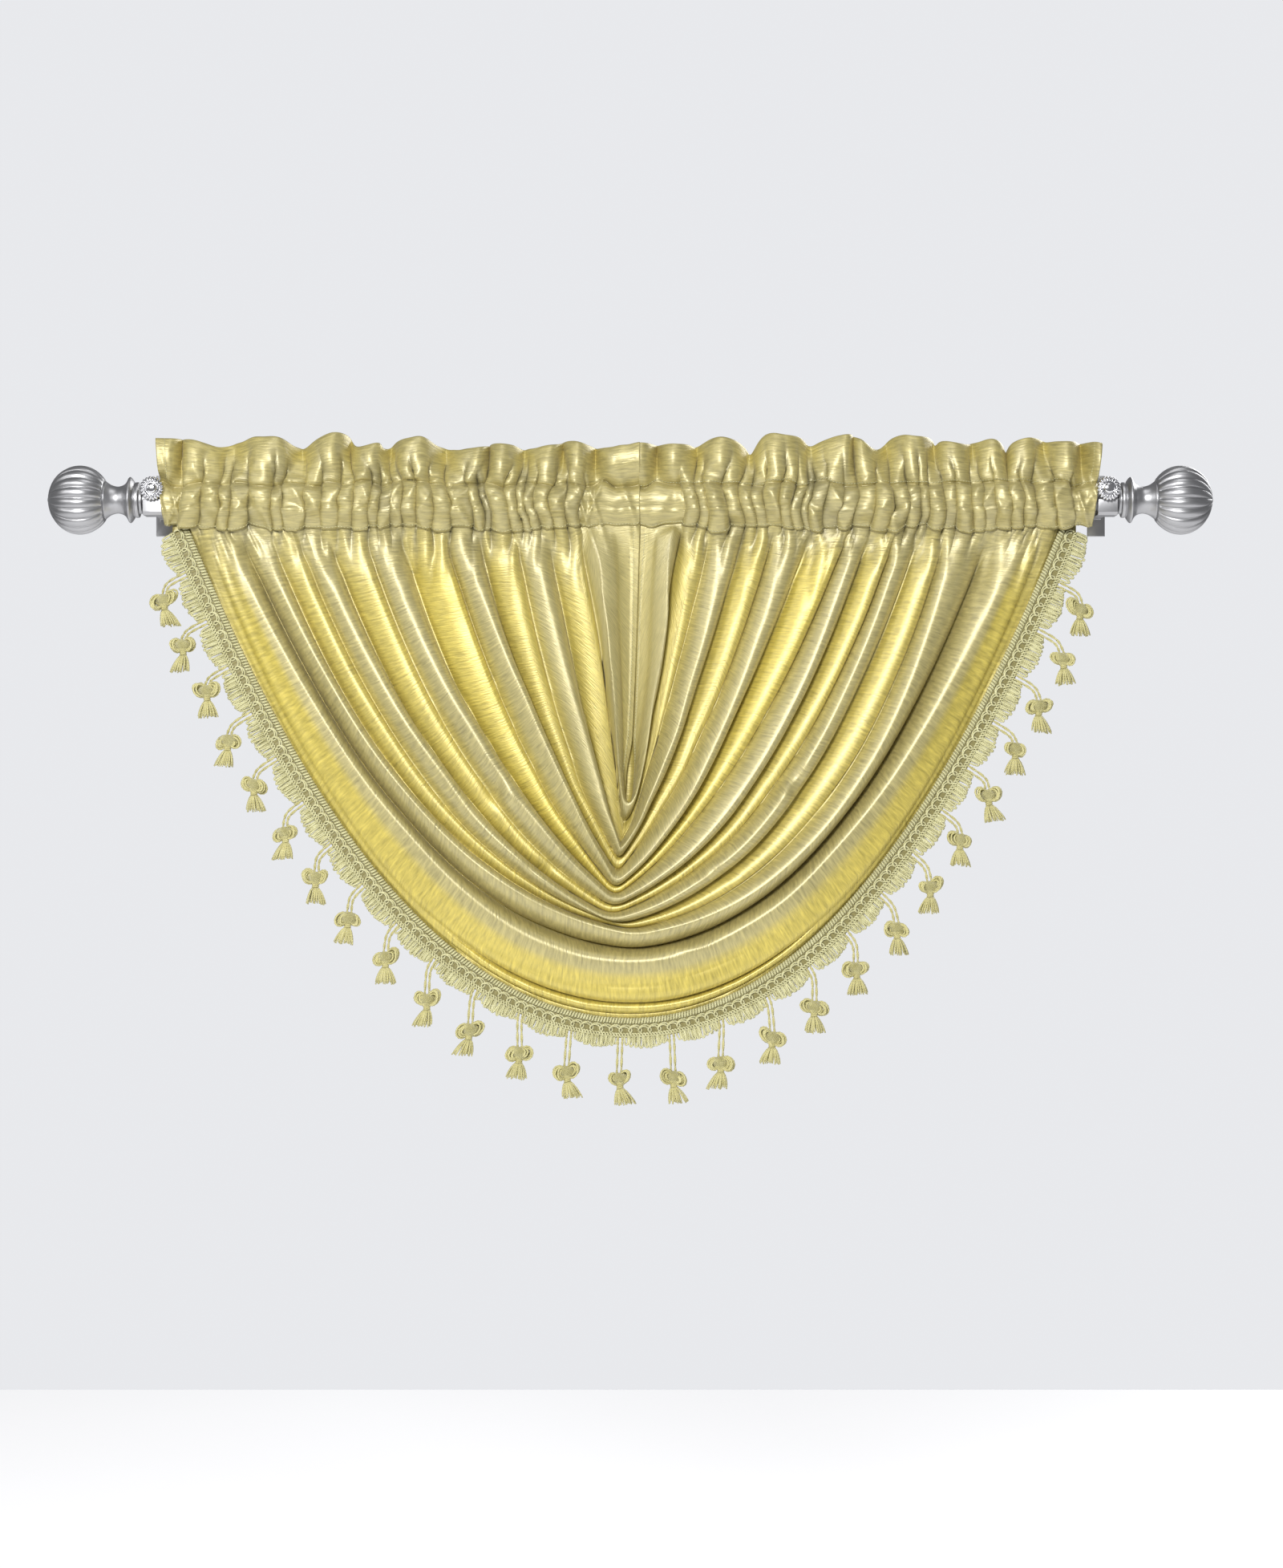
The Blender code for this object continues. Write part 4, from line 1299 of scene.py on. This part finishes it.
@dataclass
class Tape:
    """The braided tape and its looped fringe."""

    edge: Edge
    row: TasselRow
    wrap_pitch: float = 0.0031
    wrap_half: float = 0.0026
    wrap_at: float = 0.0030  # from the tape's upper edge, as are the next two
    wrap_radius: float = 0.00105
    scroll_pitch: float = 0.0100
    scroll_half: float = 0.0036
    scroll_at: float = 0.0108
    braid_radius: float = 0.00085
    foot_pitch: float = 0.0058
    foot_half: float = 0.0017
    foot_at: float = 0.0170
    loop_pitch: float = 0.0050
    loop_half: float = 0.00180
    loop_radius: tuple[float, float] = (0.00090, 0.00115)
    loop_tuck: float = 0.0025  # how far the loops start behind the braid
    short: float = 0.0105  # loops beside a tassel
    long: float = 0.0180  # loops midway between two
    share_level: float = 0.60  # of those lengths, where the tape runs level
    notch: float = 0.0085

    def _ends(self) -> tuple[float, float]:
        """Where the patterns start and end along the tape."""
        return self.edge.along[0] + self.edge.spare, self.edge.along[-1] - self.edge.spare

    def _run(self, pitch: float, points: int) -> tuple[Array, Array]:
        """Stations along the whole tape and the turn at each, for a pattern with that pitch."""
        low, high = self._ends()
        turns = round((high - low) / pitch)
        turn = np.linspace(0, 2 * np.pi * turns, turns * points + 1)
        return low + (high - low) * turn / turn[-1], turn

    def base(self) -> Shape:
        """The woven ground: a flat band with rounded edges, closed round its section."""
        low, high = self.edge.along[0], self.edge.along[-1]
        u = np.linspace(low, high, 420)[:, None]
        half = self.edge.width / 2
        angle = ring(16)
        out = self.edge.start + half + half * np.sign(np.cos(angle)) * np.abs(np.cos(angle)) ** 0.4
        lift = self.edge.cloth / 2 + self.edge.gap + 0.0006 + 0.0005 * np.sin(angle)
        return lattice(self.edge.at(u, out[None, :], lift[None, :]), around=True)

    def wrap(self) -> Shape:
        """The bound upper edge: a thread wound round a core, u = turn, out and lift on a circle."""
        u, turn = self._run(self.wrap_pitch, 8)
        out = self.edge.start + self.wrap_at + self.wrap_half * np.cos(turn)
        lift = self.edge.face + 0.0002 + 0.0011 * np.sin(turn)
        return tubes(self.edge.at(u, out, lift)[None], self.wrap_radius)

    def scrolls(self) -> Shape:
        """Chains of round scrolls: u runs on while it swings by a . sin, out swings by b . cos."""
        paths = []
        for size, shift, height in ((1.0, 0.0, 0.0010), (0.58, 0.9, 0.0014)):
            u, turn = self._run(self.scroll_pitch, 20)
            swing = self.scroll_half * size
            along = u - swing * np.sin(turn + shift)
            out = self.edge.start + self.scroll_at + swing * np.cos(turn + shift)
            lift = self.edge.face + height + 0.0005 * np.sin(turn + shift)
            paths.append(self.edge.at(along, out, lift))
        return tubes(np.stack(paths), self.braid_radius)

    def foot(self) -> Shape:
        """The lower braid: two threads that wave past each other."""
        shapes = []
        for shift in (0.0, np.pi):
            u, turn = self._run(self.foot_pitch, 10)
            out = self.edge.start + self.foot_at + self.foot_half * np.sin(turn + shift)
            lift = self.edge.face + 0.0008 + 0.0006 * np.cos(turn + shift)
            shapes.append(tubes(self.edge.at(u, out, lift)[None], self.braid_radius))
        return Shape.join(shapes)

    def fringe(self) -> Shape:
        """Loops of thread in scallops between the tassels, in two layers.

        Each loop runs out as sin^0.5 and across as -cos, so that it turns round at its end.
        """
        rng = np.random.default_rng(12)
        low, high = self._ends()
        stops = np.concatenate([[low - self.notch / 2], self.row.places(), [high + self.notch / 2]])
        middles, lengths = [], []
        for start, end in zip(stops, stops[1:]):
            begin, finish = start + self.notch / 2, end - self.notch / 2
            count = max(2, round((finish - begin) / self.loop_pitch))
            share = (np.arange(count) + 0.5) / count
            length = self.short + (self.long - self.short) * np.sin(np.pi * share)
            length *= 1 - (1 - self.share_level) * self.edge.level((start + end) / 2)
            middles.append(begin + share * (finish - begin))
            lengths.append(length)
        middle, length = np.concatenate(middles), np.concatenate(lengths)
        turn = np.linspace(0, np.pi, 10)
        swell, all_loops, tuck = np.sin(turn) ** 0.5, len(middle), self.loop_tuck
        shapes = []
        for layer, half in ((0.0, 1.0), (1.0, 0.85)):
            shift = rng.uniform(-0.0004, 0.0004, all_loops) + layer * self.loop_pitch / 2
            reach = length * rng.uniform(0.86, 1.0, all_loops) * (1 - 0.06 * layer)
            lean = rng.uniform(-0.0012, 0.0012, all_loops)
            u = (middle + shift)[:, None] - half * self.loop_half * np.cos(turn)
            u = u + lean[:, None] * swell
            out = self.edge.lower - tuck + (reach + tuck)[:, None] * swell
            lift = self.edge.face + 0.0004 - 0.0011 * layer
            lift = lift + rng.uniform(-0.0004, 0.0004, all_loops)[:, None] * swell
            thick = rng.uniform(*self.loop_radius, all_loops)[:, None]
            shapes.append(tubes(self.edge.at(u, out, lift), thick))
        return Shape.join(shapes)

    def build(
        self, look: bpy.types.Material, ground: bpy.types.Material
    ) -> list[bpy.types.Object]:
        """Makes the ground, the braid and the fringe, which stand for the solid tape."""
        braid = Shape.join([self.wrap(), self.scrolls(), self.foot()])
        made = [
            # the ground's dark colour is painted shade under the braid
            add_piece("tape_ground_painted_shade", self.base(), ground),
            add_piece("tape_braid", braid, look),
            add_piece("loop_fringe", self.fringe(), look),
        ]
        for piece in made:
            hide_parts("tape_fringe")
        return made


@dataclass
class Tassels:
    """Small tassels: a doubled cord, a head of wound loops, a bound neck and a clipped skirt."""

    edge: Edge
    row: TasselRow
    cord_length: float = 0.039
    cord_run: float = 0.024
    cord_radius: float = 0.0014
    cord_apart: float = 0.0022
    cord_points: int = 26
    ply_offset: float = 0.00062
    ply_radius: float = 0.00078
    head_half: tuple[float, float] = (0.0145, 0.0095)
    flat: float = 0.62  # depth from front to back by width, of core and skirt
    loops: int = 28
    loop_radius: float = 0.00105
    neck_z: float = -0.0106
    skirt_z: float = -0.0098
    skirt_length: float = 0.018
    skirt_flare: float = 0.0094
    strands: int = 30

    def places(self) -> list[dict[str, Any]]:
        """Each tassel's cord and head, worked out as the solids' are, with the same seed."""
        rng = np.random.default_rng(7)
        found = []
        for u in self.row.places():
            level = float(self.edge.level(u))
            face = self.edge.face
            start = self.edge.at(u, self.edge.lower + TOUCH, face)
            clear = min(1, 7 * (1 - level)) * (self.head_half[1] + self.edge.thick)
            run = self.cord_run * min(1, 2 * (1 - level))
            reach = self.edge.lower + TOUCH + max(run, 2 * self.cord_radius)
            turn = self.edge.at(u, reach, face)
            fall = self.cord_length - run + rng.uniform(-0.003, 0.003)
            middle = turn + np.array([rng.uniform(-0.002, 0.002), -clear, -fall])
            tilt = rng.uniform(-0.12, 0.12)
            found.append({"u": u, "start": start, "turn": turn, "middle": middle, "tilt": tilt})
        return found

    @staticmethod
    def hang(spot: dict[str, Any], local: Array) -> Array:
        """Points beside a tassel's middle, tilted as it hangs."""
        c, s = math.cos(spot["tilt"]), math.sin(spot["tilt"])
        x, y, z = local[..., 0], local[..., 1], local[..., 2]
        return spot["middle"] + np.stack([x * c - z * s, y, x * s + z * c], axis=-1)

    def head(self, spot: dict[str, Any], rng: np.random.Generator) -> Shape:
        """Loops from the neck out to each side and back: across R(1-cos)/2, up H sin.

        One lobe is a little fuller than the other, and each rolls up or down on its own.
        """
        turn = np.linspace(0, 2 * np.pi, 13)
        right = np.arange(self.loops) % 2
        azimuth = np.pi * (1 - right) + rng.uniform(-0.72, 0.72, self.loops)
        full = rng.uniform(0.86, 1.06, 2)[right]
        wide = self.head_half[0] * full * rng.uniform(0.48, 1.0, self.loops) ** 0.9 - 0.0008
        tall = 0.50 * wide * rng.uniform(0.80, 1.12, self.loops)
        roll = rng.uniform(-0.35, 0.45, 2)[right] + rng.uniform(-0.10, 0.10, self.loops)
        r = 0.0004 + wide[:, None] * (1 - np.cos(turn)) / 2
        z = tall[:, None] * np.sin(turn) + roll[:, None] * r - 0.0012
        local = np.stack([r * np.cos(azimuth)[:, None], r * np.sin(azimuth)[:, None], z], axis=-1)
        facing = np.stack([-np.sin(azimuth), np.cos(azimuth), 0 * azimuth], axis=-1)[:, None]
        return tubes(self.hang(spot, local), self.loop_radius, 4, facing)

    def core(self, spot: dict[str, Any]) -> Shape:
        """A filling under the loops and down the neck, turned about the tassel's own line."""
        rows = np.array(
            [
                (0.0052, 0.0010), (0.0042, 0.0062), (0.0005, 0.0096), (-0.0040, 0.0078),
                (-0.0078, 0.0034), (-0.0100, 0.0022), (-0.0140, 0.0030), (-0.0180, 0.0012),
            ]
        )
        angle = ring(10)
        x, y = rows[:, 1:] * np.cos(angle), self.flat * rows[:, 1:] * np.sin(angle)
        local = np.stack([x, y, np.broadcast_to(rows[:, :1], x.shape)], axis=-1)
        return lattice(self.hang(spot, local), around=True)

    def neck(self, spot: dict[str, Any]) -> Shape:
        """Three turns of thread: a circle of the neck's radius that climbs."""
        turn = np.linspace(0, 6 * np.pi, 37)
        z = self.neck_z + 0.0034 * turn / turn[-1]
        local = np.stack([0.0031 * np.cos(turn), 0.0027 * np.sin(turn), z], axis=-1)
        return tubes(self.hang(spot, local)[None], 0.00065, 4, (0, 0, 1))

    def skirt(self, spot: dict[str, Any], rng: np.random.Generator) -> Shape:
        """Clipped strands that flare: outwards as the way down to the power 0.75."""
        angle = ring(self.strands) + 2 * np.pi * rng.uniform(0, 1, self.strands) / self.strands
        reach = rng.uniform(0.35, 1.0, self.strands) ** 0.6
        length = self.skirt_length * rng.uniform(0.84, 1.0, self.strands)
        down = np.linspace(0, 1, 5)
        flare = 0.0022 + (self.skirt_flare * reach)[:, None] * down**0.75 - 0.0008 * down**3
        x = flare * np.cos(angle)[:, None] + rng.uniform(-0.0055, 0.0055) * down
        y = self.flat * flare * np.sin(angle)[:, None]
        z = self.skirt_z - length[:, None] * down
        local = np.stack([x, y, z], axis=-1)
        thick = np.array([0.0006, 0.0008, 0.0009, 0.00085, 0.0006])
        return tubes(self.hang(spot, local), thick)

    def cords(self, spot: dict[str, Any]) -> Shape:
        """Two strands from the tape to the head, each of two plies wound about its line.

        A ply lies at c (cos w . across + sin w . deep) from the line, and the other opposite.
        """
        shapes = []
        for part in (-1, 1):
            aside = part * self.cord_apart * self.edge.way(spot["u"])
            end = self.hang(spot, np.array([part * self.cord_apart, 0.0, 0.0030]))
            root = spot["start"] + aside + (spot["start"] - spot["turn"]) * 0.10
            turn = 0.6 * (spot["turn"] + aside) + 0.2 * (spot["start"] + aside + end)
            path = rounded([root, spot["start"] + aside, turn, end], self.cord_points)
            across, deep = square_to(path, (0.0, 1.0, 0.0))
            wind = np.linspace(0, 7 * np.pi, self.cord_points)[:, None]
            off = self.ply_offset * (np.cos(wind) * across + np.sin(wind) * deep)
            shapes.append(tubes(np.stack([path + off, path - off]), self.ply_radius))
        return Shape.join(shapes)

    def build(self, look: bpy.types.Material) -> list[bpy.types.Object]:
        """Makes all the tassels, as cords with heads and as skirts."""
        rng = np.random.default_rng(23)
        heads, skirts = [], []
        for spot in self.places():
            heads += [self.head(spot, rng), self.core(spot), self.neck(spot), self.cords(spot)]
            skirts.append(self.skirt(spot, rng))
        made = [
            add_piece("tassel_heads", Shape.join(heads), look),
            add_piece("tassel_skirts", Shape.join(skirts), look),
        ]
        names = [f"tassel_{i:02d}" for i in range(1, self.row.count + 1)]
        for piece in made:
            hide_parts(*names)
        return made


# Rod, finials and brackets


@dataclass
class Hardware:
    """The rod with its finials, brackets and screws."""

    flutes: int = 18
    flute_depth: float = 0.0030
    flute_points: int = 12
    ball_radius: float = 0.0345
    ball_half: float = 0.0316
    ball_centre: float = 0.0628
    bracket_x: float = 0.476
    screw_front: float = 0.0155
    screw_z: float = 0.010
    petals: int = 20
    petal_points: int = 8
    petal_notch: float = 0.0013
    petal_dip: float = 0.0009
    edge_ease: float = 0.0006

    def rod(self, look: bpy.types.Material) -> None:
        """The rod, turned, with its ends slightly eased."""
        half, radius = ROD_HALF, ROD_RADIUS
        profile = np.array(
            [(-half, radius - 0.0008), (-half + 0.0006, radius - 0.0001), (-half + 0.0012, radius)]
        )
        profile = np.concatenate([profile, profile[::-1] * (-1, 1)])
        points = turned(profile, 72) - (0, ROD_REACH, 0)
        piece = add_piece("rod_tube", lattice(points, around=True), look)
        piece.data.set_sharp_from_angle(angle=math.radians(50))
        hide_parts("rod")

    def finial(self, side: int, look: bpy.types.Material) -> None:
        """A melon ball on a waisted neck.

        The ball's radius is R sqrt(1 - s^2) less a groove that is deepest where
        |sin(n a / 2)| is 0, so that each rib is round and each groove narrow.
        """
        neck = rounded(
            [
                (0.0000, 0.0138), (0.0026, 0.0140), (0.0030, 0.0170), (0.0040, 0.0177),
                (0.0062, 0.0177), (0.0074, 0.0172), (0.0088, 0.0196), (0.0112, 0.0226),
                (0.0130, 0.0226), (0.0152, 0.0186), (0.0176, 0.0158), (0.0214, 0.0140),
                (0.0256, 0.0135), (0.0310, 0.0150), (0.0345, 0.0172), (0.0362, 0.0186),
                (0.0370, 0.0190), (0.0376, 0.0186), (0.0380, 0.0196),
            ],
            96,
        )
        s = np.sin(np.linspace(-0.905, 1.46, 60))
        ball = np.column_stack(
            [self.ball_centre + s * self.ball_half, self.ball_radius * np.sqrt(1 - s**2)]
        )
        tail = np.array([(0.0946, 0.0030), (0.0950, 0.0016), (0.0951, 0.0004)])
        profile = np.concatenate([neck, ball, tail])
        around = self.flutes * self.flute_points
        groove = (1 - np.abs(np.sin(self.flutes * ring(around) / 2)) ** 0.75) ** 1.3
        deep = np.concatenate([np.zeros(len(neck)), (1 - s**2) ** 0.35, np.zeros(3)])
        deep[len(neck) : len(neck) + 4] *= np.linspace(0, 1, 4)
        change = -self.flute_depth * deep[:, None] * groove[None, :]
        points = turned(profile, around, change)
        points[..., 0] = side * (points[..., 0] + ROD_HALF + TOUCH)
        points[..., 1] -= ROD_REACH
        name, shape = SIDES[side], lattice(points, around=True)
        piece = add_piece(f"melon_finial_{name}", shape, look)
        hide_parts(f"finial_{name}")

    def bracket(self, side: int, look: bpy.types.Material) -> None:
        """The solid bracket's own shape with eased edges."""
        name = f"bracket_{SIDES[side]}"
        shape = bmesh.new()
        shape.from_mesh(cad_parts[name].data)
        bmesh.ops.remove_doubles(shape, verts=shape.verts, dist=0.00001)
        bmesh.ops.dissolve_limit(
            shape, angle_limit=math.radians(1), verts=shape.verts, edges=shape.edges
        )
        bmesh.ops.recalc_face_normals(shape, faces=shape.faces)
        mesh = bpy.data.meshes.new(f"{name}_eased")
        shape.to_mesh(mesh)
        shape.free()
        mesh.shade_smooth()
        mesh.materials.clear()
        mesh.materials.append(look)
        piece = put(f"{name}_eased", mesh)
        eased = piece.modifiers.new("eased edges", "BEVEL")
        eased.width = self.edge_ease
        eased.segments = 3
        eased.limit_method = "ANGLE"
        eased.angle_limit = math.radians(35)
        eased.harden_normals = True
        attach(piece, "root")
        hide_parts(name)
        log.info("%s: %d faces", piece.name, len(mesh.polygons))

    def rosette(self, side: int, look: bpy.types.Material) -> None:
        """The screw's head: petals round a domed boss, turned about a line along Y.

        The rim's radius loses a share of 1 - |sin|, and so does the petals' rise.
        """
        seat = ROD_REACH + self.screw_front + TOUCH
        rows = rounded(
            [
                (0.0000, 0.0048, 0.0), (0.0026, 0.0056, 0.0), (0.0032, 0.0090, 0.4),
                (0.0036, 0.0116, 1.0), (0.0050, 0.0121, 1.0), (0.0064, 0.0116, 1.0),
                (0.0074, 0.0098, 0.9), (0.0078, 0.0078, 0.6), (0.0068, 0.0062, 0.0),
                (0.0072, 0.0054, 0.0), (0.0090, 0.0050, 0.0), (0.0102, 0.0036, 0.0),
                (0.0106, 0.0016, 0.0), (0.0107, 0.0002, 0.0),
            ],
            70,
        )
        angle = ring(self.petals * self.petal_points)
        rise, wide, cut = rows[:, :1], rows[:, 1:2], rows[:, 2:]
        notch = cut * (1 - np.abs(np.sin(self.petals * angle / 2)) ** 0.7)
        radius = wide - self.petal_notch * notch
        out = rise - self.petal_dip * notch * (rise > 0.005)
        x = side * self.bracket_x + radius * np.cos(angle)
        z = self.screw_z + radius * np.sin(angle)
        shape = lattice(np.stack([x, -seat - out, z], axis=-1), around=True)
        name = SIDES[side]
        piece = add_piece(f"screw_rosette_{name}", shape, look)
        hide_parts(f"rosette_{name}")

    def build(self, steel: bpy.types.Material, chrome: bpy.types.Material) -> None:
        """Makes all of it."""
        self.rod(steel)
        for side in SIDES:
            self.finial(side, steel)
            self.bracket(side, steel)
            self.rosette(side, chrome)


# Studio


@dataclass
class Studio:
    """Camera as in the photograph, soft lights and a pale floor."""

    eye: tuple[float, float, float] = (0.0112, -3.58, -0.284)
    frame_height: float = 1.564  # at the object
    object_y: float = -0.090
    floor_z: float = -1.25
    floor_half: tuple[float, float] = (2.4, 2.0)
    aim: tuple[float, float, float] = (0.0, -0.09, -0.22)
    sensor: float = 36.0
    sky_light: float = 0.23
    sky_seen: float = 0.86

    def camera(self) -> None:
        """Looks straight along +Y; the sensor's width is the frame's long side."""
        data = bpy.data.cameras.new("photo_camera")
        data.sensor_width = self.sensor
        data.lens = self.sensor * (self.object_y - self.eye[1]) / self.frame_height
        data.clip_end = 60.0
        camera = put("photo_camera", data)
        camera.location = self.eye
        camera.rotation_euler = (math.pi / 2, 0.0, 0.0)
        bpy.context.scene.camera = camera

    def light(self, name: str, place: Sequence[float], power: float, size: float) -> None:
        """A soft square light that looks at the valance."""
        data = bpy.data.lights.new(name, "AREA")
        data.energy = power
        data.size = size
        lamp = put(name, data)
        lamp.location = place
        way = Vector(self.aim) - Vector(place)
        lamp.rotation_euler = way.to_track_quat("-Z", "Y").to_euler()

    def build(self, paper: bpy.types.Material) -> None:
        """Sets the camera, the lights, the sky and the floor."""
        self.camera()
        self.light("key_light", (-0.6, -3.2, 0.9), 94.0, 0.8)
        self.light("side_fill", (-2.2, -1.8, 0.9), 16.0, 1.4)
        self.light("top_light", (0.3, -0.7, 1.9), 8.0, 1.0)
        self.light("back_light", (2.0, 2.4, 1.3), 40.0, 1.6)
        world = bpy.data.worlds.new("studio_sky")
        world.use_nodes = True
        nodes, links = world.node_tree.nodes, world.node_tree.links
        sky = nodes["Background"]
        sky.inputs["Color"].default_value = (0.94, 0.95, 0.98, 1.0)
        seen = nodes.new("ShaderNodeMapRange")
        seen.inputs["To Min"].default_value = self.sky_light
        seen.inputs["To Max"].default_value = self.sky_seen
        links.new(nodes.new("ShaderNodeLightPath").outputs["Is Camera Ray"], seen.inputs["Value"])
        links.new(seen.outputs["Result"], sky.inputs["Strength"])
        bpy.context.scene.world = world
        bpy.context.scene.view_settings.view_transform = "Standard"
        (x, y), z = self.floor_half, self.floor_z
        corners = np.array([[(-x, -y, z), (x, -y, z)], [(-x, y, z), (x, y, z)]], float)
        floor = put("floor", mesh_of("floor", lattice(corners), paper))


def main() -> None:
    """Builds the studio and the pieces in order."""
    logging.basicConfig(level=logging.INFO, format="%(name)s %(message)s")
    Studio().build(Paper().make())
    thread = Thread("pale_thread", (0.90, 0.88, 0.55), (0.33, 0.295, 0.095)).make()
    # The tape's ground is dark: painted shade beneath the braid and the loops
    ground = Thread("tape_ground_painted_shade", (0.31, 0.275, 0.10), (0.18, 0.155, 0.05)).make()
    gold = Thread("gold_thread", (0.78, 0.73, 0.38), (0.38, 0.335, 0.10)).make()
    steel = Metal("satin_steel", (0.50, 0.50, 0.51), 0.40, 0.10).make()
    chrome = Metal("bright_chrome", (0.74, 0.74, 0.76), 0.16, 0.06).make()

    valance = Valance()
    cloth = valance.build(Satin().make())
    sewing = Stitching().build(valance, thread)
    edge, row = Edge(), TasselRow()
    trim = Tape(edge, row).build(thread, ground)
    tassels = Tassels(edge, row).build(gold)
    Hardware().build(steel, chrome)


if __name__ == "__main__":
    main()
